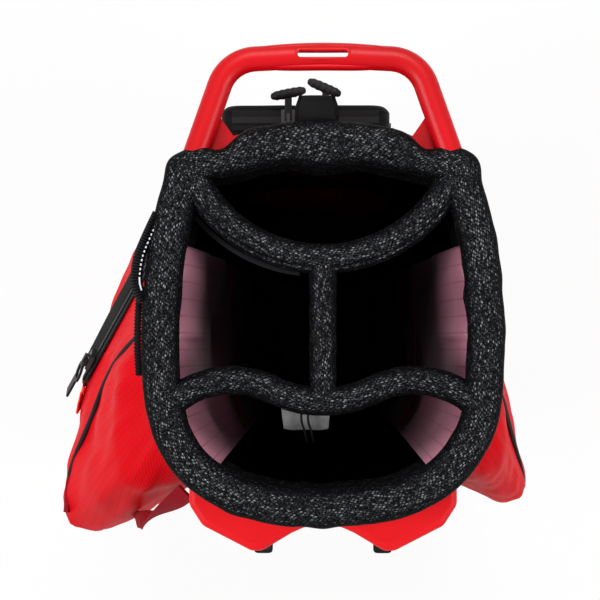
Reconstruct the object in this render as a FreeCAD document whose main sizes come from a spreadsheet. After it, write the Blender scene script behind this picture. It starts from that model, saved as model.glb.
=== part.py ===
import FreeCAD, Part
import math
import os
import re
from FreeCAD import Placement, Rotation, Vector

# Golf stand bag. The origin is the centre of the flat bottom, +Z runs up the bag,
# +Y is the carry-handle side and -Y the side of the legs and shoulder straps.

doc = FreeCAD.newDocument("GolfStandBag")
sheet = doc.addObject("Spreadsheet::Sheet", "Sizes")

SIZES = {
    # collar outline, seen from above: four large arcs joined by corner arcs
    "collar_half": 120, "collar_front": 130, "collar_back": 138, "side_centre": 6,
    "front_radius": 200, "back_radius": 240, "side_radius": 375,
    "front_corner": 88, "back_corner": 32,
    # heights
    "base_height": 66, "floor_thick": 14, "shell_low": 45, "skirt_low": 812,
    "ring_low": 840, "ring_thick": 6, "pad_thick": 16, "seam_gap": 0.3,
    # insets from the collar outline
    "ring_outer": 1.5, "ring_inner": 21, "pad_inner": 24, "cup_outer": 5, "cup_wall": 4,
    "shell_inset": 9.3, "shell_wall": 2.5, "lining_inset": 19.3, "lining_wall": 1, "lining_start": 60, "lining_front": 36, "lining_back": 76,
    "spine_half": 60, "rear_half": 70,
    # stays
    "stay_inset": 15.6, "stay_radius": 3.5, "stay_boss": 5.2, "fit_gap": 0.05,
    # dividers
    "divider_half": 10, "divider_sheet": 2, "bar_half": 5, "rear_arc": 95, "rear_dip": 47,
    "wave_radius": 75, "wave_low": 47, "wave_side": 60, "wave_rise": 14, "centre_half": 8.8,
    # carry handle
    "handle_rise": 4, "handle_radius": 8.3, "handle_reach": 181.8, "handle_half": 49,
    "handle_shoulder": 66, "handle_shoulder_y": 167, "handle_foot": 86, "handle_foot_y": 112,
    "handle_bend": 26, "slot_length": 35, "slot_width": 5.6,
    # base hinge and foot plate
    "hinge_y": 40, "hinge_z": 7, "hinge_radius": 6.5, "hinge_pin": 3, "hinge_half": 70,
    "foot_thick": 8, "foot_angle": 19, "foot_edge": 48, "lug_thick": 5, "lug_inner": 22, "lug_half": 8,
    "lug_height": 24, "rod_pin_z": 16, "recess_inset": 25, "recess_depth": 8, "recess_start": 12,
    # legs, in a frame at each leg's pivot
    "pivot_x": 60.3, "pivot_y": 131.7, "pivot_z": 762, "splay": 28, "leg_length": 722,
    "tube_radius": 7, "tube_wall": 0.8, "knuckle_radius": 9.5, "knuckle_half": 10, "leg_pin": 3,
    "boot_radius": 10.5, "boot_height": 42, "clip_drop": 170, "clip_radius": 10, "clip_height": 16,
    "cheek_outer": 14, "cheek_inner": 27, "block_front": 8.4, "block_low": 18, "block_high": 23.6,
    # push rods
    "rod_radius": 2.25, "rod_aside": 14, "eye_inner": 2.7, "eye_outer": 6.8, "clip_pin": 2.5,
    "loop_rise": 8.6, "loop_inner": 4.2, "loop_outer": 8.2,
    # red leg cover
    "yoke_low": 786, "yoke_high": 826,
    # pockets
    "pocket_wall": 2.5, "back_gap": 0.3,
    "side_low": 78, "side_straight": 200, "side_full": 640, "side_top": 790,
    "ball_low": 80, "ball_high": 452, "ball_half": 78, "ball_reach": 177,
    "purse_low": 470, "purse_high": 775, "purse_left": 71.5, "purse_right": 47, "purse_reach": 160,
    # zips, measured from the face that they lie on
    "tape_half": 7, "tape_lift": 0.2, "tape_thick": 1.5, "coil_half": 2.2, "coil_top": 2.8,
    "slider_lift": 3.1, "slider_half": 5, "slider_long": 14, "slider_thick": 3, "bridge_rise": 4,
    "bridge_thick": 1.2, "pull_thick": 1.8, "tee_long": 25, "tee_radius": 3.4, "zip_back": 10,
    "rear_zip_y": 147, "rear_slider_gap": 26,
    # soft goods on the spine
    "hip_half": 43, "hip_low": 380, "hip_high": 560, "hip_front": 136,
    "strap_inner": 3, "strap_outer": 41, "strap_low": 300, "strap_high": 640, "strap_back": 137,
    "strap_thick": 10, "webbing_thick": 2, "webbing_outer": 25, "buckle_long": 30, "anchor_y": 121,
    "anchor_high": 130, "anchor_low": 100,
    # loops and label on the collar
    "loop_left": 16.5, "loop_right": 8.5, "loop_reach": 18.2, "loop_wall": 2, "loop_height": 10,
    "grip_low": 7, "grip_high": 20, "label_y": 48.6, "label_drop": 34, "label_lean": 17.4, "label_thick": 0.8,
    "label_left": 27, "label_right": 4, "side_web_half": 7,
}
for row, (alias, value) in enumerate(SIZES.items(), start=1):
    sheet.set(f"A{row}", alias)
    sheet.set(f"B{row}", str(value))
    sheet.setAlias(f"B{row}", alias)
doc.recompute()

UP = Vector(0, 0, 1)
DOWN = Vector(0, 0, -1)
SIDEWAYS = Vector(1, 0, 0)
WIDE = "2*collar_back"
TALL = "2*ring_low"
RING_TOP = "ring_low + ring_thick"
PAD_TOP = "ring_low + ring_thick + pad_thick"
HANDLE_LEVEL = "ring_low + ring_thick + handle_rise"


def size(expression):
    """Value in millimetres of a sum of sheet sizes."""
    total = 0.0
    for sign, factor, word in re.findall(r"([+-]?)\s*(?:([\d.]+)\s*\*\s*)?([a-z_]+|[\d.]+)", expression):
        number = float(sheet.get(word)) if word[0].isalpha() else float(word)
        number *= float(factor) if factor else 1.0
        total += -number if sign == "-" else number
    return total


def linked(expression):
    """The same sum, written as a spreadsheet expression."""
    return re.sub(r"[a-z_]+", r"Sizes.\g<0>", expression)


def bind(thing, path, expression):
    thing.setExpression(path, linked(expression))


def origin_plane(body, role):
    return next(item for item in body.Origin.OriginFeatures if item.Role == role)


def add_sketch(body, name, edges, role="XY_Plane", level="0"):
    sketch = body.newObject("Sketcher::SketchObject", name)
    sketch.AttachmentSupport = [(origin_plane(body, role), "")]
    sketch.MapMode = "FlatFace"
    bind(sketch, "AttachmentOffset.Base.z", level)
    sketch.addGeometry([geometry_of(edge) for edge in edges])
    return sketch


def geometry_of(edge):
    first, last = edge.ParameterRange
    if isinstance(edge.Curve, Part.Line):
        return Part.LineSegment(edge.valueAt(first), edge.valueAt(last))
    if edge.isClosed():
        return Part.Circle(edge.Curve)
    return Part.ArcOfCircle(edge.Curve, first, last)


def prism(name, edges, low, high, place=None):
    """A PartDesign body: the outline raised from one height to another."""
    body = doc.addObject("PartDesign::Body", name)
    sketch = add_sketch(body, name + "_outline", edges, level=low)
    pad = body.newObject("PartDesign::Pad", name + "_pad")
    pad.Profile = sketch
    bind(pad, "Length", f"({high}) - ({low})")
    if place:
        body.Placement = place
    return body


def box(name, corner, far, place=None):
    """A box between two corners, each given by three sums of sizes."""
    block = doc.addObject("Part::Box", name)
    for path, low, high in zip(("Length", "Width", "Height"), corner, far):
        bind(block, path, f"({high}) - ({low})")
    base = Vector(*(size(part) for part in corner))
    block.Placement = (place or Placement()).multiply(Placement(base, Rotation()))
    return block


def zone(name, low_x, high_x, low_y, high_y):
    """A box from the ground to well over the bag, to divide a shape with."""
    return box(name, (low_x, low_y, "0"), (high_x, high_y, TALL))


def rod(name, radius, length, base, direction=UP, place=None):
    """A cylinder from a base point along a direction."""
    cylinder = doc.addObject("Part::Cylinder", name)
    bind(cylinder, "Radius", radius)
    bind(cylinder, "Height", length)
    local = Placement(base, Rotation(UP, direction))
    cylinder.Placement = (place or Placement()).multiply(local)
    return cylinder


def cut(name, base, *tools):
    result = base
    for index, tool in enumerate(tools):
        last = index == len(tools) - 1
        step = doc.addObject("Part::Cut", name if last else f"{name}_cut{index}")
        step.Base = result
        step.Tool = tool
        result = step
    return result


def common(name, *shapes):
    result = doc.addObject("Part::MultiCommon", name)
    result.Shapes = list(shapes)
    return result


def fuse(name, *shapes):
    result = doc.addObject("Part::MultiFuse", name)
    result.Shapes = list(shapes)
    result.Refine = True
    return result


def rounded(name, base, radius, chosen):
    """Round the edges that a test picks out."""
    doc.recompute()
    picked = [i for i, edge in enumerate(base.Shape.Edges, start=1) if chosen(edge)]
    result = doc.addObject("Part::Fillet", name)
    result.Base = base
    result.Edges = [(i, radius, radius) for i in picked]
    return result


nodes = {}


def node(name, thing):
    thing.Label = name
    nodes[name] = thing
    return thing


# Plan outlines


def circle_meeting(first, first_radius, second, second_radius, side):
    """Where two circles cross, on the side of the given x sign."""
    gap = second - first
    along = (first_radius ** 2 - second_radius ** 2 + gap.Length ** 2) / (2 * gap.Length)
    off = math.sqrt(first_radius ** 2 - along ** 2)
    unit = gap.normalize()
    foot = first + unit * along
    across = Vector(-unit.y, unit.x, 0)
    options = [foot + across * off, foot - across * off]
    return max(options, key=lambda point: point.x * side)


def arc_through(centre, radius, start, end):
    """The short arc of a circle between two points on it."""
    middle = (start - centre).normalize() + (end - centre).normalize()
    return Part.Arc(start, centre + middle.normalize() * radius, end).toShape()


def collar_outline(inset):
    """The collar outline moved inwards: every arc keeps its centre."""
    front_centre = Vector(0, size("front_radius - collar_front"), 0)
    back_centre = Vector(0, size("collar_back - back_radius"), 0)
    front_r = size("front_radius") - inset
    back_r = size("back_radius") - inset
    side_r = size("side_radius") - inset
    edges = []
    joints = {}
    for side in (1, -1):
        side_centre = Vector(side * (size("collar_half") - size("side_radius")), -size("side_centre"), 0)
        corners = (("front", front_centre, size("front_radius"), "front_corner"),
                   ("back", back_centre, size("back_radius"), "back_corner"))
        for end, centre, radius, corner in corners:
            corner_r = size(corner)
            middle = circle_meeting(Vector(centre), radius - corner_r, Vector(side_centre),
                                    size("side_radius") - corner_r, side)
            on_end = middle + (middle - centre).normalize() * (corner_r - inset)
            on_side = middle + (middle - side_centre).normalize() * (corner_r - inset)
            joints[end, side] = on_end
            joints["side", side, end] = on_side
            edges.append(arc_through(middle, corner_r - inset, on_end, on_side))
        edges.append(arc_through(side_centre, side_r, joints["side", side, "front"],
                                 joints["side", side, "back"]))
    edges.append(arc_through(front_centre, front_r, joints["front", 1], joints["front", -1]))
    edges.append(arc_through(back_centre, back_r, joints["back", 1], joints["back", -1]))
    return edges


def ring(name, outer, inner, low, high):
    """A hollow prism between two insets of the collar outline."""
    edges = collar_outline(size(outer)) + collar_outline(size(inner))
    return prism(name, edges, low, high)


def solid_outline(name, inset, low, high):
    return prism(name, collar_outline(size(inset)), low, high)


def rounded_polygon(points, radius):
    """Closed outline of straight sides with arcs at the corners."""
    edges = []
    count = len(points)
    starts, ends = [], []
    for index, point in enumerate(points):
        before = (points[index - 1] - point)
        after = (points[(index + 1) % count] - point)
        turn = before.getAngle(after)
        setback = min(radius / math.tan(turn / 2), 0.45 * before.Length, 0.45 * after.Length)
        near = point + before.normalize() * setback
        far = point + after.normalize() * setback
        bisector = (near + far) * 0.5 - point
        arc_radius = setback * math.tan(turn / 2)
        centre = point + bisector.normalize() * (arc_radius / math.sin(turn / 2))
        edges.append(Part.Arc(near, centre + (point - centre).normalize() * arc_radius, far).toShape())
        starts.append(near)
        ends.append(far)
    for index in range(count):
        edges.append(Part.makeLine(ends[index], starts[(index + 1) % count]))
    return edges


def inset_polygon(points, distance):
    """Every side of an anticlockwise polygon moved inwards."""
    moved = []
    count = len(points)
    for index, point in enumerate(points):
        before = (point - points[index - 1]).normalize()
        after = (points[(index + 1) % count] - point).normalize()
        inward = Vector(-before.y, before.x, 0) + Vector(-after.y, after.x, 0)
        inward.normalize()
        moved.append(point + inward * (distance / math.cos(before.getAngle(after) / 2)))
    return moved


# Base

AXIS_Y = -size("hinge_y")
AXIS_Z = size("hinge_z")
HINGE = Vector(0, AXIS_Y, AXIS_Z)
WEDGE_LIFT = 1.6
CUP_SLOPE = 5
HINGE_CLEAR = 0.7
LUG_LOW, LUG_HIGH, LUG_DEPTH = 0.5, 13.5, 9
BOSS_HEIGHT = 26
PIN_BEYOND, HEAD_GROW, HEAD_THICK = 2.25, 2.6, 1.5


def wedge(name, lift):
    """Everything in front of the base hinge and below the raised foot plate."""
    tilt = Placement(HINGE, Rotation(SIDEWAYS, -size("foot_angle")))
    return box(name, ("-" + WIDE, "-" + WIDE, "-" + WIDE), (WIDE, "0", f"{WEDGE_LIFT + lift}"), tilt)


def knuckle_row(name, radius, spans):
    """Cylinders on the base hinge axis."""
    rods = []
    for index, (start, end) in enumerate(spans):
        rods.append(rod(f"{name}_{index}", radius, f"{end - start}", Vector(start, AXIS_Y, AXIS_Z),
                        SIDEWAYS))
    return fuse(name, *rods) if len(rods) > 1 else rods[0]


def knuckle_spans():
    """The hinge line shared out: foot, cup, foot, cup, foot."""
    half = size("hinge_half")
    gap = size("seam_gap")
    step = 2 * half / 5
    spans = [(-half + step * k + gap, -half + step * (k + 1) - gap) for k in range(5)]
    return spans[0::2], spans[1::2]


def stay_spots():
    return [Vector(side * size("collar_half - stay_inset"), -size("side_centre"), 0) for side in (-1, 1)]


def make_base_cup():
    foot_spans, cup_spans = knuckle_spans()
    outer = solid_outline("cup_blank", "cup_outer", "0", "base_height")
    cavity = cut("cup_cavity", solid_outline("cup_inside", "cup_outer + cup_wall", "floor_thick",
                                             "base_height + floor_thick"), wedge("cup_slope", CUP_SLOPE))
    under = common("cup_recess", solid_outline("cup_under", "recess_inset", "0", "recess_depth"),
                   zone("cup_under_back", "-" + WIDE, WIDE, "recess_start", WIDE))
    hollow = cut("cup_shell", outer, cavity, under, wedge("cup_wedge", 0))
    half = size("hinge_half")
    clear = knuckle_row("cup_hinge_clear", f"hinge_radius + {HINGE_CLEAR}", [(-half, half)])
    lugs = knuckle_row("cup_lugs", "hinge_radius", cup_spans)
    back = [box(f"cup_lug_{i}", (f"{a}", "-hinge_y", f"{LUG_LOW}"), (f"{b}", f"{LUG_DEPTH} - hinge_y", f"{LUG_HIGH}"))
            for i, (a, b) in enumerate(cup_spans)]
    bosses = []
    for index, spot in enumerate(stay_spots()):
        bosses.append(rod(f"cup_boss_{index}", "stay_boss", f"{BOSS_HEIGHT}",
                          spot + Vector(0, 0, size("floor_thick"))))
    solid = fuse("cup_solid", cut("cup_open", hollow, clear), lugs, *back, *bosses)
    holes = [knuckle_row("cup_pin_hole", "hinge_pin + fit_gap", [(-half - 3, half + 3)])]
    for index, spot in enumerate(stay_spots()):
        holes.append(rod(f"cup_stay_hole_{index}", "stay_radius + fit_gap", "base_height",
                         spot + Vector(0, 0, size("floor_thick + 4"))))
    node("base_cup", cut("base_cup_solid", solid, *holes))
    node("foot_hinge_pin", rod("hinge_pin_rod", "hinge_pin", "2*hinge_half + 4",
                               Vector(-half - 2, AXIS_Y, AXIS_Z), SIDEWAYS))


def leg_frame(side):
    """Frame at a leg's pivot: x along the hinge, y outwards, z up. Side -1 is left."""
    splay = math.radians(size("splay"))
    outward = Vector(side * math.sin(splay), -math.cos(splay), 0)
    along = outward.cross(UP)
    turn = math.degrees(math.atan2(along.y, along.x))
    pivot = Vector(side * size("pivot_x"), -size("pivot_y"), size("pivot_z"))
    return Placement(pivot, Rotation(UP, turn))


def make_base_foot():
    foot_spans, _ = knuckle_spans()
    edge = size("foot_edge")
    plate = common("foot_plate", solid_outline("foot_blank", "cup_outer", "0", "foot_thick"),
                   zone("foot_front", "-" + WIDE, WIDE, "-" + WIDE, "-foot_edge"))
    arms = [box(f"foot_arm_{i}", (f"{a}", f"{-edge - 4}", f"{LUG_LOW}"), (f"{b}", "-hinge_y", "hinge_z"))
            for i, (a, b) in enumerate(foot_spans)]
    pieces = [plate, knuckle_row("foot_knuckles", "hinge_radius", foot_spans)] + arms
    low = -size("pivot_z")
    for side in (-1, 1):
        frame = leg_frame(side)
        xs = sorted((side * size("lug_inner"), side * size("lug_inner + lug_thick")))
        pieces.append(box(f"foot_tongue_{side}", (f"{xs[0]}", "-hinge_y", "-pivot_z"),
                          (f"{xs[1]}", "lug_half", "foot_thick - pivot_z"), frame))
        pieces.append(box(f"foot_lug_{side}", (f"{xs[0]}", "-lug_half", "-pivot_z"),
                          (f"{xs[1]}", "lug_half", "lug_height - pivot_z"), frame))
        start = Vector(side * size("lug_inner"), 0, low + size("rod_pin_z"))
        toward = Vector(-side, 0, 0)
        reach = size("lug_inner - rod_aside + rod_radius") + PIN_BEYOND
        pieces.append(rod(f"foot_pin_{side}", "hinge_pin", f"{reach}", start, toward, frame))
        pieces.append(rod(f"foot_head_{side}", f"hinge_pin + {HEAD_GROW}", f"{HEAD_THICK}",
                          start + toward * (reach - 0.9), toward, frame))
    half = size("hinge_half")
    hole = knuckle_row("foot_pin_hole", "hinge_pin + fit_gap + fit_gap", [(-half - 3, half + 3)])
    node("base_foot", cut("base_foot_solid", fuse("foot_solid", *pieces), hole))


make_base_cup()
make_base_foot()

# Body shell, lining and stays


def make_shell():
    low, high = "shell_low", "skirt_low - seam_gap"
    whole = ring("shell_ring", "shell_inset", "shell_inset + shell_wall", low, high)
    spine = zone("spine_zone", "-spine_half", "spine_half", "-" + WIDE, "0")
    rear = zone("rear_zone", "-rear_half", "rear_half", "0", WIDE)
    node("spine_panel", common("spine_wall", whole, spine))
    node("rear_panel", common("rear_wall", whole, rear))
    sides = cut("side_walls", whole, spine, rear)
    for name, low_x, high_x in (("left_panel", "-" + WIDE, "0"), ("right_panel", "0", WIDE)):
        node(name, common(name + "_wall", sides, zone(name + "_zone", low_x, high_x, "-" + WIDE, WIDE)))


def make_lining():
    skin = ring("lining_ring", "lining_inset", "lining_inset + lining_wall", "shell_low + 3",
                "skirt_low - seam_gap")
    for name, low_x, high_x in (("lining_left", "-" + WIDE, "-lining_start"), ("lining_right", "lining_start", WIDE)):
        node(name, common(name + "_skin", skin, zone(name + "_zone", low_x, high_x, "-lining_front", "lining_back")))


def make_stays():
    base = size("floor_thick + 4")
    stays = [rod(f"stay_{i}", "stay_radius", "ring_low - floor_thick - 8", spot + Vector(0, 0, base))
             for i, spot in enumerate(stay_spots())]
    node("stays", fuse("stay_pair", *stays))


make_shell()
make_lining()
make_stays()

# Dividers

REAR_CENTRE = Vector(0, size("rear_dip + rear_arc"), 0)
WAVE_CENTRE = Vector(0, size("wave_radius - wave_low"), 0)
WAVE_END = math.radians(22)
DIVIDER_ROUND = 5
LONG_EDGE = 25


def wave_side_centre(side):
    """Centre of a side crest, tangent to the middle trough."""
    span = size("wave_side")
    rise = size("wave_rise")
    dip = size("wave_radius")
    crest_y = -size("wave_low") + rise
    # the crest radius follows from tangency with the trough
    drop = WAVE_CENTRE.y - crest_y
    crest = (span ** 2 + drop ** 2 - dip ** 2) / (2 * (dip - drop))
    return Vector(side * span, crest_y - crest, 0), crest


def rear_strip(name, half, low, high):
    """The band along the rear divider's arc."""
    radius = size("rear_arc")
    big = Part.Circle(REAR_CENTRE, UP, radius + half).toShape()
    small = Part.Circle(REAR_CENTRE, UP, radius - half).toShape()
    band = prism(name + "_band", [big, small], low, high)
    return common(name, band, zone(name + "_zone", "-" + WIDE, WIDE, "0", "rear_dip + rear_arc"))


def wave_edges(half):
    """Closed outline of the front divider's wavy band."""
    edges = []
    last = {}
    for sign in (1, -1):
        points = []
        for side in (-1, 1):
            centre, crest = wave_side_centre(side)
            meet = WAVE_CENTRE + (centre - WAVE_CENTRE).normalize() * (size("wave_radius") - sign * half)
            radius = crest + sign * half
            end = centre + Vector(side * math.cos(WAVE_END), math.sin(WAVE_END), 0) * radius
            edges.append(arc_through(centre, radius, meet, end))
            points.append(meet)
            last[sign, side] = end
        edges.append(arc_through(WAVE_CENTRE, size("wave_radius") - sign * half, points[0], points[1]))
    for side in (-1, 1):
        edges.append(Part.makeLine(last[1, side], last[-1, side]))
    return edges


def centre_strip(name, half, low, high, clear):
    """The straight band between the two curved dividers."""
    bar = box(name + "_zone", (f"-{half}", "-wave_radius", low), (f"{half}", "rear_arc", high))
    trough = prism(name + "_trough", [Part.Circle(WAVE_CENTRE, UP, size("wave_radius") - clear).toShape()],
                   low, high)
    dip = prism(name + "_dip", [Part.Circle(REAR_CENTRE, UP, size("rear_arc") + clear).toShape()], low, high)
    return cut(name, common(name + "_bar", bar, trough), dip)


def top_edges(level, shortest=3):
    """Picks the edges that lie at a level and are not shorter than a given length."""
    return lambda edge: all(abs(v.Z - level) < 0.01 for v in edge.Vertexes) and edge.Length > shortest


def make_divider_sheets():
    low, high = "shell_low + 4", "ring_low - seam_gap"
    half = size("divider_sheet") / 2
    inside = solid_outline("sheet_space", "shell_inset + shell_wall + seam_gap + 0.2", low, high)
    node("divider_sheet_rear", common("sheet_rear", rear_strip("rear_sheet", half, low, high), inside))
    node("divider_sheet_front", common("sheet_front", prism("wave_sheet", wave_edges(half), low, high), inside))
    node("divider_sheet_centre", centre_strip("centre_sheet", half, low, high, half + size("seam_gap")))


def make_divider_pads():
    low, high = RING_TOP, PAD_TOP
    level = size(high)
    half = size("divider_half")
    inside = solid_outline("pad_space", "pad_inner + seam_gap", low, high)
    rear = common("pad_rear_block", rear_strip("rear_pad", half, low, high), inside)
    front = common("pad_front_block", prism("wave_pad", wave_edges(half - 0.5), low, high), inside)
    centre = centre_strip("pad_centre_block", size("centre_half"), low, high, half + size("seam_gap"))
    for name, block in (("divider_pad_rear", rear), ("divider_pad_front", front),
                        ("divider_pad_centre", centre)):
        node(name, rounded(name + "_soft", block, DIVIDER_ROUND, top_edges(level, LONG_EDGE)))


make_divider_sheets()
make_divider_pads()

# Top frame with the carry handle

HANDLE_BOW = 1.5
KNEE_PUSH = Vector(5, 5, 0)
WEB_CORNERS = ((-14, 35), (-30, 12), (-4, 0))
WEB_ROUND = 4
PAD_ROUND = 6


def handle_path():
    """Half of the handle's centre line, from the middle of the bar to its foot."""
    bar = Vector(0, size("handle_reach"), 0)
    corner = Vector(size("handle_half"), size("handle_reach") - HANDLE_BOW, 0)
    shoulder = Vector(size("handle_shoulder"), size("handle_shoulder_y"), 0)
    foot = Vector(size("handle_foot"), size("handle_foot_y"), 0)
    knee = (corner + shoulder) * 0.5 + KNEE_PUSH
    before = (bar - knee).normalize()
    after = (foot - knee).normalize()
    turn = before.getAngle(after)
    radius = size("handle_bend")
    setback = radius / math.tan(turn / 2)
    start = knee + before * setback
    end = knee + after * setback
    middle = knee + ((start + end) * 0.5 - knee).normalize() * (radius / math.sin(turn / 2) - radius)
    return [Part.makeLine(bar, start), Part.Arc(start, middle, end).toShape(), Part.makeLine(end, foot)]


def make_handle(name, grow):
    """The round bar swept along its half path and mirrored, with its radius grown."""
    body = doc.addObject("PartDesign::Body", name + "_body")
    path = add_sketch(body, name + "_path", handle_path(), level=HANDLE_LEVEL)
    section = Part.Circle(Vector(size("handle_reach"), size(HANDLE_LEVEL), 0), UP, size("handle_radius") + grow)
    pipe = body.newObject("PartDesign::AdditivePipe", name + "_pipe")
    pipe.Profile = add_sketch(body, name + "_section", [section.toShape()], role="YZ_Plane")
    pipe.Spine = path
    mirror = body.newObject("PartDesign::Mirrored", name + "_mirror")
    mirror.Originals = [pipe]
    mirror.MirrorPlane = (origin_plane(body, "YZ_Plane"), [""])
    body.Tip = mirror
    return body


def make_web(side):
    """Gusset between the handle leg and the ring."""
    foot = Vector(size("handle_foot"), size("handle_foot_y"), 0)
    points = [Vector(side * (foot.x + x), foot.y + y, 0) for x, y in WEB_CORNERS]
    return prism(f"web_{'left' if side < 0 else 'right'}", rounded_polygon(points, WEB_ROUND), "ring_low", RING_TOP)


def make_top_frame():
    flat = ring("frame_ring", "ring_outer", "ring_inner", "ring_low", RING_TOP)
    skirt = ring("frame_skirt", "shell_inset", "shell_inset + shell_wall", "skirt_low", "ring_low")
    half = size("bar_half")
    low, high = "ring_low", RING_TOP
    inside = solid_outline("bar_space", "ring_inner - 3", low, high)
    rear_bar = common("rear_bar_trim", rear_strip("rear_bar", half, low, high), inside)
    front_bar = common("front_bar_trim", prism("wave_bar", wave_edges(half), low, high), inside)
    centre_bar = centre_strip("centre_bar", half, low, high, half - 1)
    handle = make_handle("handle", 0)
    webs = [make_web(side) for side in (-1, 1)]
    bosses = [rod(f"frame_boss_{i}", "stay_boss", "ring_low - skirt_low", spot + Vector(0, 0, size("skirt_low")))
              for i, spot in enumerate(stay_spots())]
    doc.recompute()
    solid = fuse("frame_solid", flat, skirt, rear_bar, front_bar, centre_bar, handle, *webs, *bosses)
    slot_half = size("slot_length") / 2
    slot_low = size("handle_reach") - size("slot_width") / 2
    slot = zone("handle_slot", f"-{slot_half}", f"{slot_half}", f"{slot_low}", f"{slot_low} + slot_width")
    holes = [rod(f"frame_stay_hole_{i}", "stay_radius + fit_gap", "ring_low - skirt_low - 3",
                 spot + Vector(0, 0, size("skirt_low"))) for i, spot in enumerate(stay_spots())]
    node("top_frame", cut("top_frame_solid", solid, slot, *holes))


def make_collar_pads():
    whole = ring("pad_ring", "0", "pad_inner", RING_TOP, PAD_TOP)
    soft = rounded("pad_ring_soft", whole, PAD_ROUND, top_edges(size(PAD_TOP)))
    ends = [rod(f"foot_clear_{side}", "handle_radius + seam_gap", "2*handle_radius",
                Vector(side * size("handle_foot"), size("handle_foot_y"), size(HANDLE_LEVEL + " - handle_radius")))
            for side in (-1, 1)]
    clear = cut("pad_cleared", soft, make_handle("handle_clear", size("seam_gap")), *ends)
    back = zone("pad_back_zone", "-" + WIDE, WIDE, f"handle_foot_y - {PAD_ROUND}", WIDE)
    node("collar_pad_rear", common("pad_rear_part", clear, back))
    node("collar_pad_front", cut("pad_front_part", clear, back))


make_top_frame()
make_collar_pads()

# Legs, hinges and push rods

SIDES = (("left", -1), ("right", 1))
COVER_HALF = ((90, -100), (90, -117), (81, -131), (48, -148), (41, -148), (21, -136), (12, -132))
COVER_CORNER = 9
COVER_ROUND = 5
PLUG_LONG = 36
TUBE_GAP = 0.5
SOLE = 6
BOOT_ROUND = 5
STUB_LONG, CLIP_PIN_LONG, CLIP_HEAD = 3.2, 9, 1.4
FLATTEN = 0.05


def make_leg_cover():
    """Red moulding with two lobes that hood the leg hinges."""
    points = [Vector(-x, y, 0) for x, y in COVER_HALF] + [Vector(x, y, 0) for x, y in COVER_HALF[::-1]]
    lobes = prism("cover_lobes", rounded_polygon(points, COVER_CORNER), "yoke_low", "yoke_high")
    soft = rounded("cover_soft", lobes, COVER_ROUND, top_edges(size("yoke_high")))
    behind = solid_outline("cover_behind", "shell_inset - seam_gap", "0", TALL)
    node("leg_cover", cut("leg_cover_solid", soft, behind))


def make_hinge(name, side):
    frame = leg_frame(side)
    inner, outer = side * size("cheek_inner"), -side * size("cheek_outer")
    low_x, high_x = min(inner, outer), max(inner, outer)
    block = box(name + "_block", (f"{low_x}", "-hinge_y", "-block_low"),
                (f"{high_x}", "block_front", "yoke_low - pivot_z - seam_gap"), frame)
    slot = box(name + "_slot", ("-knuckle_half - seam_gap", "-knuckle_radius - 1", "-block_low - 1"),
               ("knuckle_half + seam_gap", "block_front + 1", "knuckle_radius + 1"), frame)
    behind = solid_outline(name + "_behind", "shell_inset - seam_gap", "0", TALL)
    hole = rod(name + "_pin_hole", "leg_pin + fit_gap", f"{high_x - low_x + 2}", Vector(low_x - 1, 0, 0),
               SIDEWAYS, frame)
    node(f"hinge_block_{name}", cut(f"hinge_{name}_solid", block, slot, behind, hole))
    return rod(name + "_pin", "leg_pin", f"{high_x - low_x}", Vector(low_x, 0, 0), SIDEWAYS, frame)


def make_leg(name, side):
    frame = leg_frame(side)
    half = size("knuckle_half")
    top = -size("knuckle_radius") - TUBE_GAP
    length = size("leg_length")
    barrel = rod(name + "_barrel", "knuckle_radius", "2*knuckle_half", Vector(-half, 0, 0), SIDEWAYS, frame)
    plug = rod(name + "_plug", "tube_radius - tube_wall - fit_gap", f"{PLUG_LONG}", Vector(0, 0, -2), DOWN, frame)
    bore = rod(name + "_bore", "leg_pin + fit_gap + fit_gap", "2*knuckle_half + 2", Vector(-half - 1, 0, 0),
               SIDEWAYS, frame)
    node(f"{name}_leg_knuckle", cut(name + "_knuckle_solid", fuse(name + "_knuckle_body", barrel, plug), bore))
    outer = rod(name + "_tube_outer", "tube_radius", f"leg_length + {top} - {SOLE}", Vector(0, 0, top), DOWN, frame)
    inner = rod(name + "_tube_inner", "tube_radius - tube_wall", "leg_length", Vector(0, 0, top + 1), DOWN, frame)
    node(f"{name}_leg_tube", cut(name + "_tube_solid", outer, inner))
    boot = rod(name + "_boot_blank", "boot_radius", "boot_height", Vector(0, 0, -length), UP, frame)
    socket = rod(name + "_boot_socket", "tube_radius + fit_gap", "boot_height", Vector(0, 0, -length + SOLE), UP, frame)
    low = size("pivot_z") - length
    soft = rounded(name + "_boot_soft", boot, BOOT_ROUND, lambda e: abs(e.BoundBox.ZMax - low) < 0.01)
    node(f"{name}_leg_foot", cut(name + "_boot_solid", soft, socket))
    drop = -size("clip_drop")
    collar = rod(name + "_clip_collar", "clip_radius", "clip_height", Vector(0, 0, drop - size("clip_height") / 2),
                 UP, frame)
    grip = rod(name + "_clip_bore", "tube_radius + fit_gap", "clip_height + 2",
               Vector(0, 0, drop - size("clip_height") / 2 - 1), UP, frame)
    toward = Vector(side, 0, 0)
    lower = Vector(0, 0, drop)
    start = size("clip_radius") - 1
    stub = rod(name + "_clip_stub", "clip_pin + 2", f"{STUB_LONG}", toward * (start - 0.8) + lower, toward, frame)
    pin = rod(name + "_clip_pin", "clip_pin", f"{CLIP_PIN_LONG}", toward * start + lower, toward, frame)
    head = rod(name + "_clip_head", "clip_pin + 2", f"{CLIP_HEAD}",
               toward * (start + CLIP_PIN_LONG - CLIP_HEAD + 0.1) + lower, toward, frame)
    node(f"{name}_rod_clip", cut(name + "_clip_solid", fuse(name + "_clip_body", collar, stub, pin, head), grip))


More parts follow.
